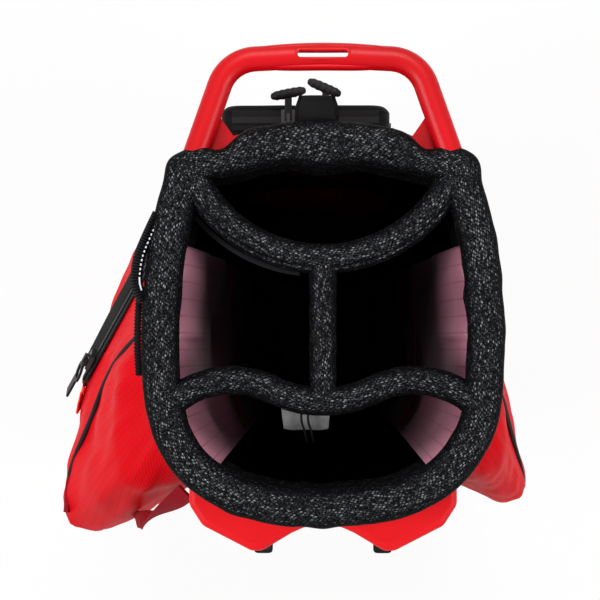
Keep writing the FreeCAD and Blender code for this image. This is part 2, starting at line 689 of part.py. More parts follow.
def stadium(radius, low, high):
    """A long loop outline: two half circles joined by straight sides."""
    top, bottom = Vector(0, high, 0), Vector(0, low, 0)
    right = Vector(radius, 0, 0)
    rise = Vector(0, radius, 0)
    return [Part.Arc(top + right, top + rise, top - right).toShape(), Part.makeLine(top - right, bottom - right),
            Part.Arc(bottom - right, bottom - rise, bottom + right).toShape(),
            Part.makeLine(bottom + right, top + right)]


def make_push_rod(name, side):
    """Bent wire: a round eye at the clip, a straight run and a long loop at the foot."""
    frame = leg_frame(side)
    drop = -size("clip_drop")
    low = size("rod_pin_z - pivot_z")
    rise = size("loop_rise")
    outer = size("loop_outer")
    plane = Vector(side * size("rod_aside") - size("rod_radius") + FLATTEN, 0, 0)
    flat = f"2*rod_radius - {2 * FLATTEN}"
    upright = frame.multiply(Placement(plane, Rotation(Vector(0, 1, 0), UP, SIDEWAYS, "ZXY")))
    loop = prism(name + "_loop", stadium(outer, low, low + rise) + stadium(size("loop_inner"), low, low + rise),
                 "0", flat, upright)
    eye = cut(name + "_eye", *[rod(f"{name}_{label}", radius, flat, plane + Vector(0, 0, drop), SIDEWAYS, frame)
                               for label, radius in (("eye_disc", "eye_outer"), ("eye_hole", "eye_inner"))])
    start = low + rise + outer - 2
    wire = rod(name + "_wire", "rod_radius", f"{drop - size('eye_outer') + 1.8 - start}",
               Vector(side * size("rod_aside"), 0, start), UP, frame)
    node(f"{name}_push_rod", fuse(name + "_rod_solid", loop, eye, wire))


make_leg_cover()
node("leg_pins", fuse("leg_pin_pair", *[make_hinge(name, side) for name, side in SIDES]))
for leg_name, leg_side in SIDES:
    make_leg(leg_name, leg_side)
    make_push_rod(leg_name, leg_side)

# Pockets


# plan corners of each side pocket at its fullest, and the spots by the bag that they shrink towards
POCKET_BACK = {-1: ((-60, 70), (-60, -60)), 1: ((60, 62), (60, -60))}
POCKET_CORNERS = {-1: ((-108, 94), (-148, 60), (-186, -50), (-203, -124), (-198, -149), (-167, -155), (-80, -104)),
                  1: ((104, 72), (140, -50), (154, -112), (150, -125), (137, -128), (84, -106))}
POCKET_ROOTS = {-1: ((-96, 80), (-93.5, 58.5), (-122, -24), (-118, -62), (-112, -82), (-104, -92), (-80, -92)),
                1: ((102, 70), (117, -20), (112, -60), (107, -72), (100, -84), (80, -94))}
# height, share of the full depth and corner radius of each section
POCKET_STATIONS = (("side_low", 0.7, 14), ("side_straight", 1.0, 20), ("side_full", 1.0, 20), ("side_top", 0.15, 8))
PURSE_BACK = 90
BALL_CORNER, BALL_ROUND = 24, 9
PURSE_CORNER, PURSE_ROUND = 16, 5
PURSE_EDGE = 14
REAR_PULL = 2


def side_section(side, fullness, inset):
    """Section of a side pocket: the large left one or the smaller right one, anticlockwise."""
    first, last = [Vector(*point, 0) for point in POCKET_BACK[side]]
    roots = [Vector(*point, 0) for point in POCKET_ROOTS[side]]
    outer = [root + (Vector(*corner, 0) - root) * fullness for root, corner in zip(roots, POCKET_CORNERS[side])]
    points = [first] + outer + [last]
    if side > 0:
        points = points[::-1]
    return inset_polygon(points, inset) if inset else points


def pocket_loft(name, side, inset):
    """A body lofted through rounded sections at rising heights."""
    body = doc.addObject("PartDesign::Body", name)
    sketches = []
    trims = ["+"] + [None] * (len(POCKET_STATIONS) - 2) + ["-"]
    for (level, fullness, radius), trim in zip(POCKET_STATIONS, trims):
        edges = rounded_polygon(side_section(side, fullness, inset), radius - inset)
        sketches.append(add_sketch(body, f"{name}_{level}", edges,
                                   level=f"{level} {trim} {inset}" if trim else level))
    loft = body.newObject("PartDesign::AdditiveLoft", name + "_loft")
    loft.Profile = sketches[0]
    loft.Sections = sketches[1:]
    loft.Ruled = True
    return body


def hollow_pocket(name, outer, inner):
    """A pocket's skin, its back wall lying along the shell."""
    back = solid_outline(name + "_back", "shell_inset - back_gap", "0", TALL)
    lined = solid_outline(name + "_back_wall", "shell_inset - back_gap - pocket_wall", "0", TALL)
    node(name, cut(name + "_solid", cut(name + "_body", outer, back), cut(name + "_space", inner, lined)))


def make_side_pocket(name, side):
    hollow_pocket(name, pocket_loft(name + "_outer", side, 0), pocket_loft(name + "_inner", side, size("pocket_wall")))


def box_pocket(name, low_x, high_x, reach, low, high, radius, round_top):
    """A flat-backed pocket on the rear panel with rounded corners."""
    wall = size("pocket_wall")

    def block(label, grow, bottom, top):
        edges = rounded_polygon([Vector(low_x - grow, PURSE_BACK, 0), Vector(high_x + grow, PURSE_BACK, 0),
                                 Vector(high_x + grow, reach + grow, 0), Vector(low_x - grow, reach + grow, 0)],
                                radius + grow)
        return prism(f"{name}_{label}", edges, bottom, top)

    outer = rounded(name + "_outer_soft", block("outer", 0, low, high), round_top,
                    lambda e: e.BoundBox.ZLength < 0.01 and e.BoundBox.YMax > PURSE_BACK + 1)
    inner = block("inner", -wall, f"{low} + pocket_wall", f"{high} - pocket_wall")
    hollow_pocket(name, outer, inner)


make_side_pocket("left_pocket", -1)
make_side_pocket("right_pocket", 1)
box_pocket("ball_pocket", -size("ball_half"), size("ball_half"), size("ball_reach"), "ball_low", "ball_high",
           BALL_CORNER, BALL_ROUND)
box_pocket("rear_pocket", -size("purse_left"), size("purse_right"), size("purse_reach"), "purse_low", "purse_high",
           PURSE_CORNER, PURSE_ROUND)

# Zips, sliders and pulls


def zip_place(point, travel, outward):
    """Frame on a pocket's face: x along the slider's travel, z away from the face."""
    across = outward.cross(travel)
    return Placement(point, Rotation(travel, across, outward, "ZXY"))


def right_face(y, level):
    """A point of the right pocket's upright outer face, and the face's outward normal."""
    near, far = [Vector(*point, level) for point in POCKET_CORNERS[1][:2]]
    along = (far - near).normalize()
    return near + along * ((y - near.y) / along.y), Vector(abs(along.y), abs(along.x), 0)


def left_slope(share, level):
    """A point of the left pocket's sloped outer face: how far along the face, and how high."""
    full, top = size("side_full"), size("side_top")
    depth = 1 - (1 - POCKET_STATIONS[-1][1]) * (level - full) / (top - full)
    near, far = [root + (corner - root) * depth
                 for root, corner in ((Vector(*POCKET_ROOTS[-1][k], level), Vector(*POCKET_CORNERS[-1][k], level))
                                      for k in (1, 2))]
    return near + (far - near) * share


def make_zip(name, place, back, length, label):
    """Tape with its coil, lying just off the pocket."""
    tape = box(f"{label}_tape", (f"-{back}", "-tape_half", "tape_lift"),
               (f"{length} - {back}", "tape_half", "tape_lift + tape_thick"), place)
    coil = box(f"{label}_coil", (f"-{back}", "-coil_half", "tape_lift + tape_thick"),
               (f"{length} - {back}", "coil_half", "coil_top"), place)
    node(name, fuse(f"{label}_zip_solid", tape, coil))


def make_slider(name, place):
    """Slider body over the coil, with a bridge that holds the pull."""
    top = "slider_lift + slider_thick"
    long = size("slider_long") / 2
    half = size("bridge_thick")
    body = box(f"{name}_body", (f"-{long}", "-slider_half", "slider_lift"), (f"{long}", "slider_half", top), place)
    posts = [box(f"{name}_post_{i}", (f"{x}", f"-{half}", top), (f"{x + 1}", f"{half}", top + " + bridge_rise"), place)
             for i, x in enumerate((-4, 3))]
    bridge = box(f"{name}_bridge", ("-4", f"-{half}", top + " + bridge_rise - bridge_thick"),
                 ("4", f"{half}", top + " + bridge_rise"), place)
    node(name, fuse(f"{name}_solid", body, *posts, bridge))


ARM_HALF, ARM_WIDE, ARM_LONG = 3.2, 1.2, 9
TEE_AT, HOOP_AT, RING_LONG = 18, 16, 42
HOOP_OUTER, HOOP_INNER = 8.5, 5.6


def make_pull(name, place, shape):
    """Pull with a crossbar under the slider's bridge, pointing along x."""
    half = size("pull_thick") / 2
    level = size("slider_lift + slider_thick + bridge_rise - bridge_thick") - half - 0.4
    low, high = f"{level - half}", f"{level + half}"
    across = Vector(0, 1, 0)
    pieces = [rod(f"{name}_bar", f"{half}", f"{2 * ARM_HALF}", Vector(0, -ARM_HALF, level), across, place)]
    for i, low_y in enumerate((-ARM_HALF, ARM_HALF - ARM_WIDE)):
        pieces.append(box(f"{name}_arm_{i}", ("0", f"{low_y}", low), (f"{ARM_LONG}", f"{low_y + ARM_WIDE}", high), place))

    def plate(label, start, end, wide):
        return box(f"{name}_{label}", (f"{start}", f"-{wide}", low), (f"{end}", f"{wide}", high), place)

    if shape == "tee":
        pieces.append(plate("stem", ARM_LONG - 1, TEE_AT, ARM_HALF))
        pieces.append(rod(f"{name}_tee", "tee_radius", "tee_long", Vector(TEE_AT, -size("tee_long") / 2, level),
                          across, place))
    elif shape == "ring":
        hoop = rod(f"{name}_hoop", f"{HOOP_OUTER}", "pull_thick", Vector(HOOP_AT, 0, level - half), UP, place)
        eye = rod(f"{name}_eye", f"{HOOP_INNER}", "2*pull_thick", Vector(HOOP_AT, 0, level - 2 * half), UP, place)
        pieces += [cut(f"{name}_loop", hoop, eye), plate("tab", HOOP_AT + HOOP_OUTER - 0.9, RING_LONG, 4.5)]
    else:
        pieces.append(plate("tab", ARM_LONG - 1, 30, 4))
    node(name, fuse(f"{name}_solid", *pieces))


LEFT_ZIP = ((0.87, 2), (0.05, 95))
RIGHT_ZIP_Y = -40
RIGHT_ZIP_DROP = 110
LEFT_SLIDER_AT = 22
ZIP_FROM_TOP = 10
TURNED = Placement(Vector(), Rotation(UP, 180))


def make_zips():
    back = size("zip_back")
    start, end = [left_slope(share, size("side_full") + rise) for share, rise in LEFT_ZIP]
    travel = (end - start).normalize()
    along = Vector(POCKET_CORNERS[-1][2][0] - POCKET_CORNERS[-1][1][0], POCKET_CORNERS[-1][2][1] - POCKET_CORNERS[-1][1][1], 0)
    outward = along.cross(travel).normalize()
    slope = zip_place(start + travel * LEFT_SLIDER_AT, travel, outward)
    make_zip("left_zip", slope, LEFT_SLIDER_AT, (end - start).Length, "left")
    make_slider("left_slider", slope)
    make_pull("left_pull", slope.multiply(TURNED), "ring")
    point, outward = right_face(RIGHT_ZIP_Y, size("side_full") - RIGHT_ZIP_DROP)
    upright = zip_place(point, DOWN, outward)
    make_zip("right_zip", upright, back, size("side_full - side_straight") - RIGHT_ZIP_DROP, "right")
    make_slider("right_slider", upright)
    make_pull("right_pull", upright, "tab")
    rear = zip_place(Vector(size("ball_half") - BALL_CORNER, size("ball_reach"), size("ball_high") - 3 * back), DOWN,
                     Vector(0, 1, 0))
    make_zip("ball_zip", rear, back, size("ball_high - ball_low") - 4 * ZIP_FROM_TOP - 2, "ball")
    make_slider("ball_slider", rear)
    make_pull("ball_pull", rear, "tab")
    level = size("purse_high")
    line = size("rear_zip_y")
    top = zip_place(Vector(PURSE_EDGE - size("purse_left"), line, level), SIDEWAYS, UP)
    make_zip("rear_zip", top, 6, size("purse_left + purse_right") - 16, "rear")
    for name, x in (("rear_slider_a", REAR_PULL - size("rear_slider_gap")), ("rear_slider_b", REAR_PULL)):
        slide = Placement(Vector(x, line, level), Rotation(UP, 90))
        make_slider(name, slide)
        make_pull(name.replace("slider", "pull"), slide, "tee")


make_zips()

# Straps, hip pad, loops and label


def side_profile(name, points, low_x, high_x):
    """A solid with a profile in the YZ plane, raised along X."""
    wire = Part.makePolygon([Vector(0, y, z) for y, z in points + points[:1]])
    solid = doc.addObject("Part::Feature", name)
    solid.Shape = Part.Face(wire).extrude(Vector(high_x - low_x, 0, 0))
    solid.Placement = Placement(Vector(low_x, 0, 0), Rotation())
    return solid


def ribbon(name, start, end, thick, low_x, high_x):
    """A flat band between two points of the YZ plane."""
    return side_profile(name, [start, end, (end[0] - thick, end[1]), (start[0] - thick, start[1])], low_x, high_x)


HIP_CORNER = 7
STRAP_CORNER = 4
BUCKLE_SLOTS = (4, 13, 22)
SLOT_TALL = 3.5
# places along the collar's left side, each with its distance off the outline
GRIP_LINE = ((76.5, 0.45), (46, 6.0), (21, 0.4))
SIDE_WEB_START, SIDE_WEB_END, SIDE_WEB_RISE = (-97.0, -113.7), (-141.2, -140.3), 12


def make_hip_pad():
    front = -size("hip_front")
    half = size("hip_half")
    behind_y = front + size("hip_half")
    edges = rounded_polygon([Vector(-half, front, 0), Vector(half, front, 0), Vector(half, behind_y, 0),
                             Vector(-half, behind_y, 0)], HIP_CORNER)
    block = prism("hip_block", edges, "hip_low", "hip_high")
    behind = solid_outline("hip_behind", "shell_inset - seam_gap", "0", TALL)
    node("hip_pad", cut("hip_pad_solid", block, behind))


def make_straps():
    inner, outer = size("strap_inner"), size("strap_outer")
    back, front = -size("strap_back"), -size("strap_back + strap_thick")
    low, high = size("strap_low"), size("strap_high")
    wide = size("webbing_outer")
    thick = size("webbing_thick")
    middle = (back + front) / 2
    gap = size("seam_gap")
    long = size("buckle_long")
    webs, buckles = [], []
    for name, side in SIDES:
        xs = sorted((side * inner, side * outer))
        edges = rounded_polygon([Vector(xs[0], front, 0), Vector(xs[1], front, 0), Vector(xs[1], back, 0),
                                 Vector(xs[0], back, 0)], STRAP_CORNER)
        node(f"strap_pad_{name}", prism(f"strap_pad_{name}_block", edges, "strap_low", "strap_high"))
        ws = sorted((side * inner, side * wide))
        bottom = low - gap - long
        corner, end = (-size("anchor_y"), size("anchor_high")), (-size("anchor_y"), size("anchor_low"))
        upper = (-size("collar_front") + 3, size("yoke_low") - gap)
        webs.append(ribbon(f"upper_web_{name}", upper, (middle + 1, high + gap), thick, *ws))
        webs.append(ribbon(f"lower_web_{name}", (middle + 1, bottom - gap), corner, thick, *ws))
        webs.append(ribbon(f"anchor_web_{name}", corner, end, thick, *ws))
        frame = box(f"buckle_{name}", (f"{ws[0] - 2}", f"{middle - 2}", f"{bottom}"),
                    (f"{ws[1] + 2}", f"{middle + 2}", f"{low - gap}"))
        slots = [box(f"buckle_{name}_slot_{i}", (f"{ws[0] + 1}", f"{middle - 5}", f"{bottom + z}"),
                     (f"{ws[1] - 1}", f"{middle + 5}", f"{bottom + z + SLOT_TALL}"))
                 for i, z in enumerate(BUCKLE_SLOTS)]
        buckles.append(cut(f"buckle_{name}_solid", frame, *slots))
    node("strap_webbing", fuse("strap_webbing_solid", *webs))
    node("strap_buckles", fuse("strap_buckles_solid", *buckles))


def side_point(y, outset):
    """A point of the left side of the collar outline, moved outwards."""
    radius = size("side_radius")
    centre = Vector(radius - size("collar_half"), -size("side_centre"), 0)
    reach = radius + outset
    return Vector(centre.x - math.sqrt(reach ** 2 - (y - centre.y) ** 2), y, 0)


def make_loops():
    thick = 0.9 * size("loop_wall")
    points = [side_point(y, outset) for y, outset in GRIP_LINE]
    outside = [side_point(y, outset + thick) for y, outset in GRIP_LINE]
    edges = [Part.Arc(*points).toShape(), Part.Arc(*outside).toShape(), Part.makeLine(points[0], outside[0]),
             Part.makeLine(points[2], outside[2])]
    node("side_loop", prism("side_loop_band", edges, "ring_low + grip_low", "ring_low + grip_high"))
    rim = "collar_back - ring_outer + seam_gap"
    far = rim + " + loop_reach"
    low, high = "ring_low - loop_wall", "ring_low - loop_wall + loop_height"
    outer = box("rear_loop_outer", ("-loop_left", rim, low), ("loop_right", far, high))
    inner = box("rear_loop_inner", ("-loop_left - loop_wall", rim + " + loop_wall", low + " + loop_wall"),
                ("loop_right + loop_wall", far + " - loop_wall", high + " - loop_wall"))
    pad = ring("rear_loop_clear", "-2*loop_reach", "-seam_gap", "0", TALL)
    node("rear_loop", common("rear_loop_solid", cut("rear_loop_band", outer, inner), pad))


def make_label():
    top, high = -size("label_y"), size("ring_low") - 4
    node("inner_label", ribbon("label_leaf", (top, high), (top - size("label_lean"), high - size("label_drop")),
                               size("label_thick"), -size("label_left"), size("label_right")))


def make_side_webbing():
    """Red webbing from the large pocket's front face up to the leg cover."""
    near, far = [Vector(*point, 0) for point in POCKET_CORNERS[-1][-2:]]
    face = (far - near).normalize().cross(UP)
    start = Vector(*SIDE_WEB_START, size("yoke_low + yoke_high") / 2 - 3)
    end = Vector(*SIDE_WEB_END, size("side_full") + SIDE_WEB_RISE)
    run = end - start
    length = run.Length
    run.normalize()
    thin = (face - run * face.dot(run)).normalize()
    across = run.cross(thin)
    band = doc.addObject("Part::Box", "side_webbing_band")
    bind(band, "Length", "webbing_thick")
    bind(band, "Width", "2*side_web_half")
    band.Height = length
    corner = start - across * size("side_web_half")
    band.Placement = Placement(corner, Rotation(thin, across, run, "ZXY"))
    node("side_webbing", band)


make_hip_pad()
make_straps()
make_loops()
make_label()
make_side_webbing()

# Check and write

doc.recompute()
for item in doc.Objects:
    if "Invalid" in item.State or "Error" in item.State:
        raise RuntimeError(f"{item.Name} did not build: {item.State}")
for name, thing in nodes.items():
    if thing.Shape.isNull() or not thing.Shape.isValid():
        raise RuntimeError(f"{name} has no valid shape")
os.makedirs("parts", exist_ok=True)
for name, thing in nodes.items():
    thing.Shape.exportStep(f"parts/{name}.step")
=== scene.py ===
import math

import bmesh
import bpy
import numpy as np
from mathutils import Matrix, Vector


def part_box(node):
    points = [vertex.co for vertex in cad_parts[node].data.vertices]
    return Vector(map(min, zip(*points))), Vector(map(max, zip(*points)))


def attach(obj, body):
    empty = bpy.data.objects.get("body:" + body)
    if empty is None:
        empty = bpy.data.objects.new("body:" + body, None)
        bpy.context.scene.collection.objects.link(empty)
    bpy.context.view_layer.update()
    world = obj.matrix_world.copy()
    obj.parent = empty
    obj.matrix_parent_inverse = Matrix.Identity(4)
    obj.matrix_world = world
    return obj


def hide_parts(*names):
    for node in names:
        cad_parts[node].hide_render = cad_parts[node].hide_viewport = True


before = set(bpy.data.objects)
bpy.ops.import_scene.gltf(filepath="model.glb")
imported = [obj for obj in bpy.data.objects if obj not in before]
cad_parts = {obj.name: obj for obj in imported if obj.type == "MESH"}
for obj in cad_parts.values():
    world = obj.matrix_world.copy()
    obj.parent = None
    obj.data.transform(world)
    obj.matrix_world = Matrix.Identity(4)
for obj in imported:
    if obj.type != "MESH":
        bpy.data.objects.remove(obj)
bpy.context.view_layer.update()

millimetre = 0.001
mergeWithin = 0.002 * millimetre
rng = np.random.default_rng(11)


view = {"height": 1.35, "aboveY": -13.0, "aimX": -15.0, "aimY": 19.6, "sensor": 36.0, "lensShare": 3.44, "farClip": 50}


def show(item):
    # Puts an object in the scene
    bpy.context.scene.collection.objects.link(item)


def makeCamera():
    # The camera hangs above the collar, with axes made from the line between its place and its aim
    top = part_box("collar_pad_front")[1][2]
    place = Vector((0, view["aboveY"] * millimetre, top + view["height"]))
    aim = Vector((view["aimX"] * millimetre, view["aimY"] * millimetre, top))
    back = (place - aim).normalized()
    right = Vector((0, 1, 0)).cross(back).normalized()
    up = back.cross(right)
    data = bpy.data.cameras.new("topCamera")
    data.sensor_width = view["sensor"]
    data.lens = view["sensor"] * view["lensShare"]
    data.clip_end = view["farClip"]
    camera = bpy.data.objects.new("topCamera", data)
    camera.matrix_world = Matrix((
        (right.x, up.x, back.x, place.x), (right.y, up.y, back.y, place.y),
        (right.z, up.z, back.z, place.z), (0, 0, 0, 1)))
    show(camera)
    bpy.context.scene.camera = camera


lamps = {
    "overhead": {"at": (0.1, 1.7, 2.7), "size": 1.3, "power": 40},
    "left": {"at": (-1.8, -0.5, 2.3), "size": 1.1, "power": 36},
    "right": {"at": (1.9, -0.6, 2.2), "size": 1.1, "power": 26},
}
lampAim = Vector((0, 0, 0.6))
worldGlow = {"onCloth": 0.24, "seen": 1.0}


def makeLights():
    # Area lamps turned to one point, and a white world that is weaker where it only lights than where it is seen
    for name, lamp in lamps.items():
        data = bpy.data.lights.new(name, "AREA")
        data.size = lamp["size"]
        data.energy = lamp["power"]
        lampObject = bpy.data.objects.new(name, data)
        lampObject.location = lamp["at"]
        aim = lampAim - Vector(lamp["at"])
        lampObject.rotation_euler = aim.to_track_quat("-Z", "Y").to_euler()
        show(lampObject)
    world = bpy.data.worlds.new("studio")
    bpy.context.scene.world = world
    world.use_nodes = True
    nodes, links = world.node_tree.nodes, world.node_tree.links
    background = nodes["Background"]
    background.inputs["Color"].default_value = (1, 1, 1, 1)
    path = nodes.new("ShaderNodeLightPath")
    seen = nodes.new("ShaderNodeMath")
    seen.operation = "MAXIMUM"
    links.new(path.outputs["Is Camera Ray"], seen.inputs[0])
    links.new(path.outputs["Is Glossy Ray"], seen.inputs[1])
    strength = nodes.new("ShaderNodeMapRange")
    strength.inputs["To Min"].default_value = worldGlow["onCloth"]
    strength.inputs["To Max"].default_value = worldGlow["seen"]
    links.new(seen.outputs[0], strength.inputs["Value"])
    links.new(strength.outputs["Result"], background.inputs["Strength"])
    bpy.context.scene.view_settings.view_transform = "Standard"


studioFloor = {"half": 4.0, "shade": 0.92, "glow": 0.9}


def makeFloor():
    # A square whose pale shader is mixed with a white glow where the camera sees it
    half, shade = studioFloor["half"], studioFloor["shade"]
    mesh = bpy.data.meshes.new("studioFloor")
    mesh.from_pydata([(-half, -half, 0), (half, -half, 0), (half, half, 0), (-half, half, 0)], [], [(0, 1, 2, 3)])
    floor = bpy.data.objects.new("studioFloor", mesh)
    show(floor)
    material = bpy.data.materials.new("paleFloor")
    material.use_nodes = True
    nodes, links = material.node_tree.nodes, material.node_tree.links
    shader = nodes["Principled BSDF"]
    shader.inputs["Base Color"].default_value = (shade, shade, shade, 1)
    shader.inputs["Roughness"].default_value = 0.9
    glow = nodes.new("ShaderNodeEmission")
    glow.inputs["Strength"].default_value = 1.0
    path = nodes.new("ShaderNodeLightPath")
    share = nodes.new("ShaderNodeMath")
    share.operation = "MULTIPLY"
    share.inputs[1].default_value = studioFloor["glow"]
    mix = nodes.new("ShaderNodeMixShader")
    links.new(path.outputs["Is Camera Ray"], share.inputs[0])
    links.new(share.outputs[0], mix.inputs[0])
    links.new(shader.outputs[0], mix.inputs[1])
    links.new(glow.outputs[0], mix.inputs[2])
    links.new(mix.outputs[0], nodes["Material Output"].inputs["Surface"])
    mesh.materials.append(material)


makeCamera()
makeLights()
makeFloor()
print("camera, light and floor are in place")


class Finish:
    # One material with its principled shader, and short ways to add texture nodes

    def __init__(self, name, rough=0.5, metal=0.0, coat=0.0, sheen=0.0, gloss=0.5):
        # The shader's plain values, and the coordinates that patterns run on
        self.material = bpy.data.materials.new(name)
        self.material.use_nodes = True
        self.nodes = self.material.node_tree.nodes
        self.links = self.material.node_tree.links
        self.shader = self.nodes["Principled BSDF"]
        self.shader.inputs["Roughness"].default_value = rough
        self.shader.inputs["Metallic"].default_value = metal
        self.shader.inputs["Coat Weight"].default_value = coat
        self.shader.inputs["Sheen Weight"].default_value = sheen
        self.shader.inputs["Specular IOR Level"].default_value = gloss
        coordinates = self.nodes.new("ShaderNodeTexCoord")
        self.place = coordinates.outputs["Object"]
        self.cloth = coordinates.outputs["UV"]
        self.facing = coordinates.outputs["Normal"]

    def mapped(self, source, stretch, turn):
        # Object coordinates, or the given ones, scaled and turned by degrees
        mapping = self.nodes.new("ShaderNodeMapping")
        mapping.inputs["Scale"].default_value = stretch
        mapping.inputs["Rotation"].default_value = (0, 0, math.radians(turn))
        self.links.new(source or self.place, mapping.inputs["Vector"])
        return mapping.outputs[0]

    def noise(self, scale, detail=3.0, source=None, stretch=(1, 1, 1), turn=0):
        # Cloudy noise from 0 to 1
        node = self.nodes.new("ShaderNodeTexNoise")
        node.inputs["Scale"].default_value = scale
        node.inputs["Detail"].default_value = detail
        self.links.new(self.mapped(source, stretch, turn), node.inputs["Vector"])
        return node.outputs["Fac"]

    def cells(self, scale, source=None, output="Distance", randomness=1.0, stretch=(1, 1, 1), turn=0):
        # Distance to the nearest cell's middle, or that cell's random colour
        node = self.nodes.new("ShaderNodeTexVoronoi")
        node.inputs["Scale"].default_value = scale
        node.inputs["Randomness"].default_value = randomness
        self.links.new(self.mapped(source, stretch, turn), node.inputs["Vector"])
        return node.outputs[output]

    def wave(self, pitch, direction="X", source=None, turn=0):
        # Smooth stripes, one to each pitch in metres: the node draws 20 / 2 pi of them per unit of its scale
        node = self.nodes.new("ShaderNodeTexWave")
        node.bands_direction = direction
        node.wave_profile = "SIN"
        node.inputs["Scale"].default_value = 2 * math.pi / pitch / 20
        self.links.new(self.mapped(source, (1, 1, 1), turn), node.inputs["Vector"])
        return node.outputs["Fac"]

    def axis(self, source, name):
        # One axis of a vector
        node = self.nodes.new("ShaderNodeSeparateXYZ")
        self.links.new(source, node.inputs[0])
        return node.outputs[name]

    def ramp(self, source, stops):
        # Shades eased between stops, each a position and a shade
        node = self.nodes.new("ShaderNodeValToRGB")
        ramp = node.color_ramp
        while len(ramp.elements) < len(stops):
            ramp.elements.new(0.5)
        for element, (position, shade) in zip(ramp.elements, stops):
            element.position = position
            element.color = (*shade, 1)
        self.links.new(source, node.inputs["Fac"])
        return node.outputs["Color"]

    def mottle(self, scale, dark, main, detail=4, high=0.7):
        # Two shades mixed by cloudy noise
        return self.ramp(self.noise(scale, detail), ((0.3, dark), (high, main)))

    def span(self, source, low, high):
        # 0 up to the low value, 1 from the high one on, straight between
        node = self.nodes.new("ShaderNodeMapRange")
        node.inputs["From Min"].default_value = low
        node.inputs["From Max"].default_value = high
        self.links.new(source, node.inputs["Value"])
        return node.outputs["Result"]

    def feed(self, socket, value):
        # A socket takes a number, a shade or another node's output
        if isinstance(value, (int, float)):
            socket.default_value = value
        elif isinstance(value, tuple):
            socket.default_value = (*value, 1)
        else:
            self.links.new(value, socket)

    def combine(self, operation, first, second):
        # Arithmetic on two values
        node = self.nodes.new("ShaderNodeMath")
        node.operation = operation
        self.feed(node.inputs[0], first)
        self.feed(node.inputs[1], second)
        return node.outputs[0]

    def blend(self, share, first, second):
        # The first shade where the share is 0, the second where it is 1
        node = self.nodes.new("ShaderNodeMix")
        node.data_type = "RGBA"
        for name, value in (("Factor", share), ("A", first), ("B", second)):
            self.feed(next(s for s in node.inputs if s.name == name and s.enabled), value)
        return next(s for s in node.outputs if s.enabled)

    def colour(self, value):
        # The shader's base colour
        self.links.new(value, self.shader.inputs["Base Color"])

    def bump(self, source, depth, strength=1.0):
        # Raises the surface by a height in metres, on top of any earlier bump
        node = self.nodes.new("ShaderNodeBump")
        node.inputs["Distance"].default_value = depth
        node.inputs["Strength"].default_value = strength
        self.links.new(source, node.inputs["Height"])
        earlier = self.shader.inputs["Normal"].links
        if earlier:
            self.links.new(earlier[0].from_socket, node.inputs["Normal"])
        self.links.new(node.outputs[0], self.shader.inputs["Normal"])


def linear(red, green, blue):
    # Steps of 255 on a screen to the scene's own linear colour
    return tuple(((c / 255 + 0.055) / 1.055) ** 2.4 if c > 10 else c / 255 / 12.92 for c in (red, green, blue))


def glossyPlastic(name, main, dark, rough=0.42, coat=0.08):
    # Two near shades under a thin coat, with a fine moulded grain
    finish = Finish(name, rough=rough, coat=coat, gloss=0.22)
    finish.shader.inputs["Coat Roughness"].default_value = 0.25
    finish.colour(finish.mottle(14, dark, main))
    finish.bump(finish.noise(1300, 3), 0.00012, 0.6)
    return finish.material


def airMesh(name, pitch=0.0017):
    # Spacer mesh: dark knit with slanted rows of light loops; loops and strands painted brighter where the surface
    # faces up, a painted highlight along the crests
    finish = Finish(name, rough=0.6, gloss=0.05)
    layout = {"source": finish.cloth, "randomness": 0.36, "stretch": (0.62, 1.25, 1), "turn": 24}
    parts = finish.nodes.new("ShaderNodeSeparateColor")
    finish.links.new(finish.cells(1 / pitch, output="Color", **layout), parts.inputs[0])
    dot = finish.span(finish.cells(1 / pitch, **layout), 0.46, 0.18)
    # Painted highlight: a share that grows where the surface's normal points up, standing in for the lamps' light on
    # the crests
    crest = finish.combine("ADD", finish.span(finish.axis(finish.facing, "Z"), 0.66, 1.0), 0.14)
    glint = finish.combine("MULTIPLY", finish.combine("POWER", parts.outputs[0], 3.0), 0.4)
    strands = finish.span(finish.noise(1100, 3, source=finish.cloth, stretch=(1, 0.5, 1), turn=20), 0.5, 0.66)
    patch = finish.span(finish.noise(240, 2, source=finish.cloth), 0.3, 0.7)
    # From here the strands carry the painted highlight as well as the knit's own tone
    strands = finish.combine("MULTIPLY", strands, finish.combine("MULTIPLY", crest, patch))
    base = finish.blend(strands, linear(2, 2, 3), linear(72, 75, 81))
    # The light loops, brightened by the painted highlight where the surface faces up
    flecksWithPaintedHighlight = finish.combine("MULTIPLY", finish.combine("MULTIPLY", dot, glint), crest)
    finish.colour(finish.blend(flecksWithPaintedHighlight, base, linear(226, 228, 232)))
    finish.bump(dot, 0.0007, 0.8)
    finish.bump(strands, 0.0003, 0.6)
    return finish.material


def ripstop(name, main, shade, line, pitch=0.0026, share=0.4):
    # Fine slanted weave with raised ribs, and a cross rib every third pitch
    finish = Finish(name, gloss=0.05)
    rib = finish.combine("POWER", finish.wave(pitch, "Y", source=finish.cloth, turn=28), 2.0)
    cross = finish.combine("POWER", finish.wave(pitch * 3, "X", source=finish.cloth), 18.0)
    grid = finish.combine("MAXIMUM", rib, cross)
    tint = finish.mottle(9, shade, main, 5, 0.68)
    finish.colour(finish.blend(finish.combine("MULTIPLY", grid, share), tint, line))
    finish.bump(rib, 0.0002, 0.5)
    finish.bump(cross, 0.0002, 0.4)
    return finish.material


def liningCloth(name, main, shade, line, pitch=0.0115, low=0.1, high=0.6):
    # Thin shiny lining with single lines, with painted shade that darkens it towards near black the deeper it hangs
    finish = Finish(name, rough=0.4, sheen=0.1, gloss=0.2)
    lines = finish.combine("POWER", finish.wave(pitch, "X", source=finish.cloth), 60.0)
    tint = finish.mottle(14, shade, main)
    tint = finish.blend(finish.combine("MULTIPLY", lines, 0.5), tint, line)
    # Painted shade: between the low and high heights the colour falls to near black, standing in for the dark deep
    # inside the bag
    fade = finish.span(finish.axis(finish.place, "Z"), low, high)
    finish.colour(finish.blend(finish.combine("POWER", fade, 1.6), linear(6, 4, 5), tint))
    finish.bump(finish.noise(60, 3), 0.0015, 0.3)
    return finish.material


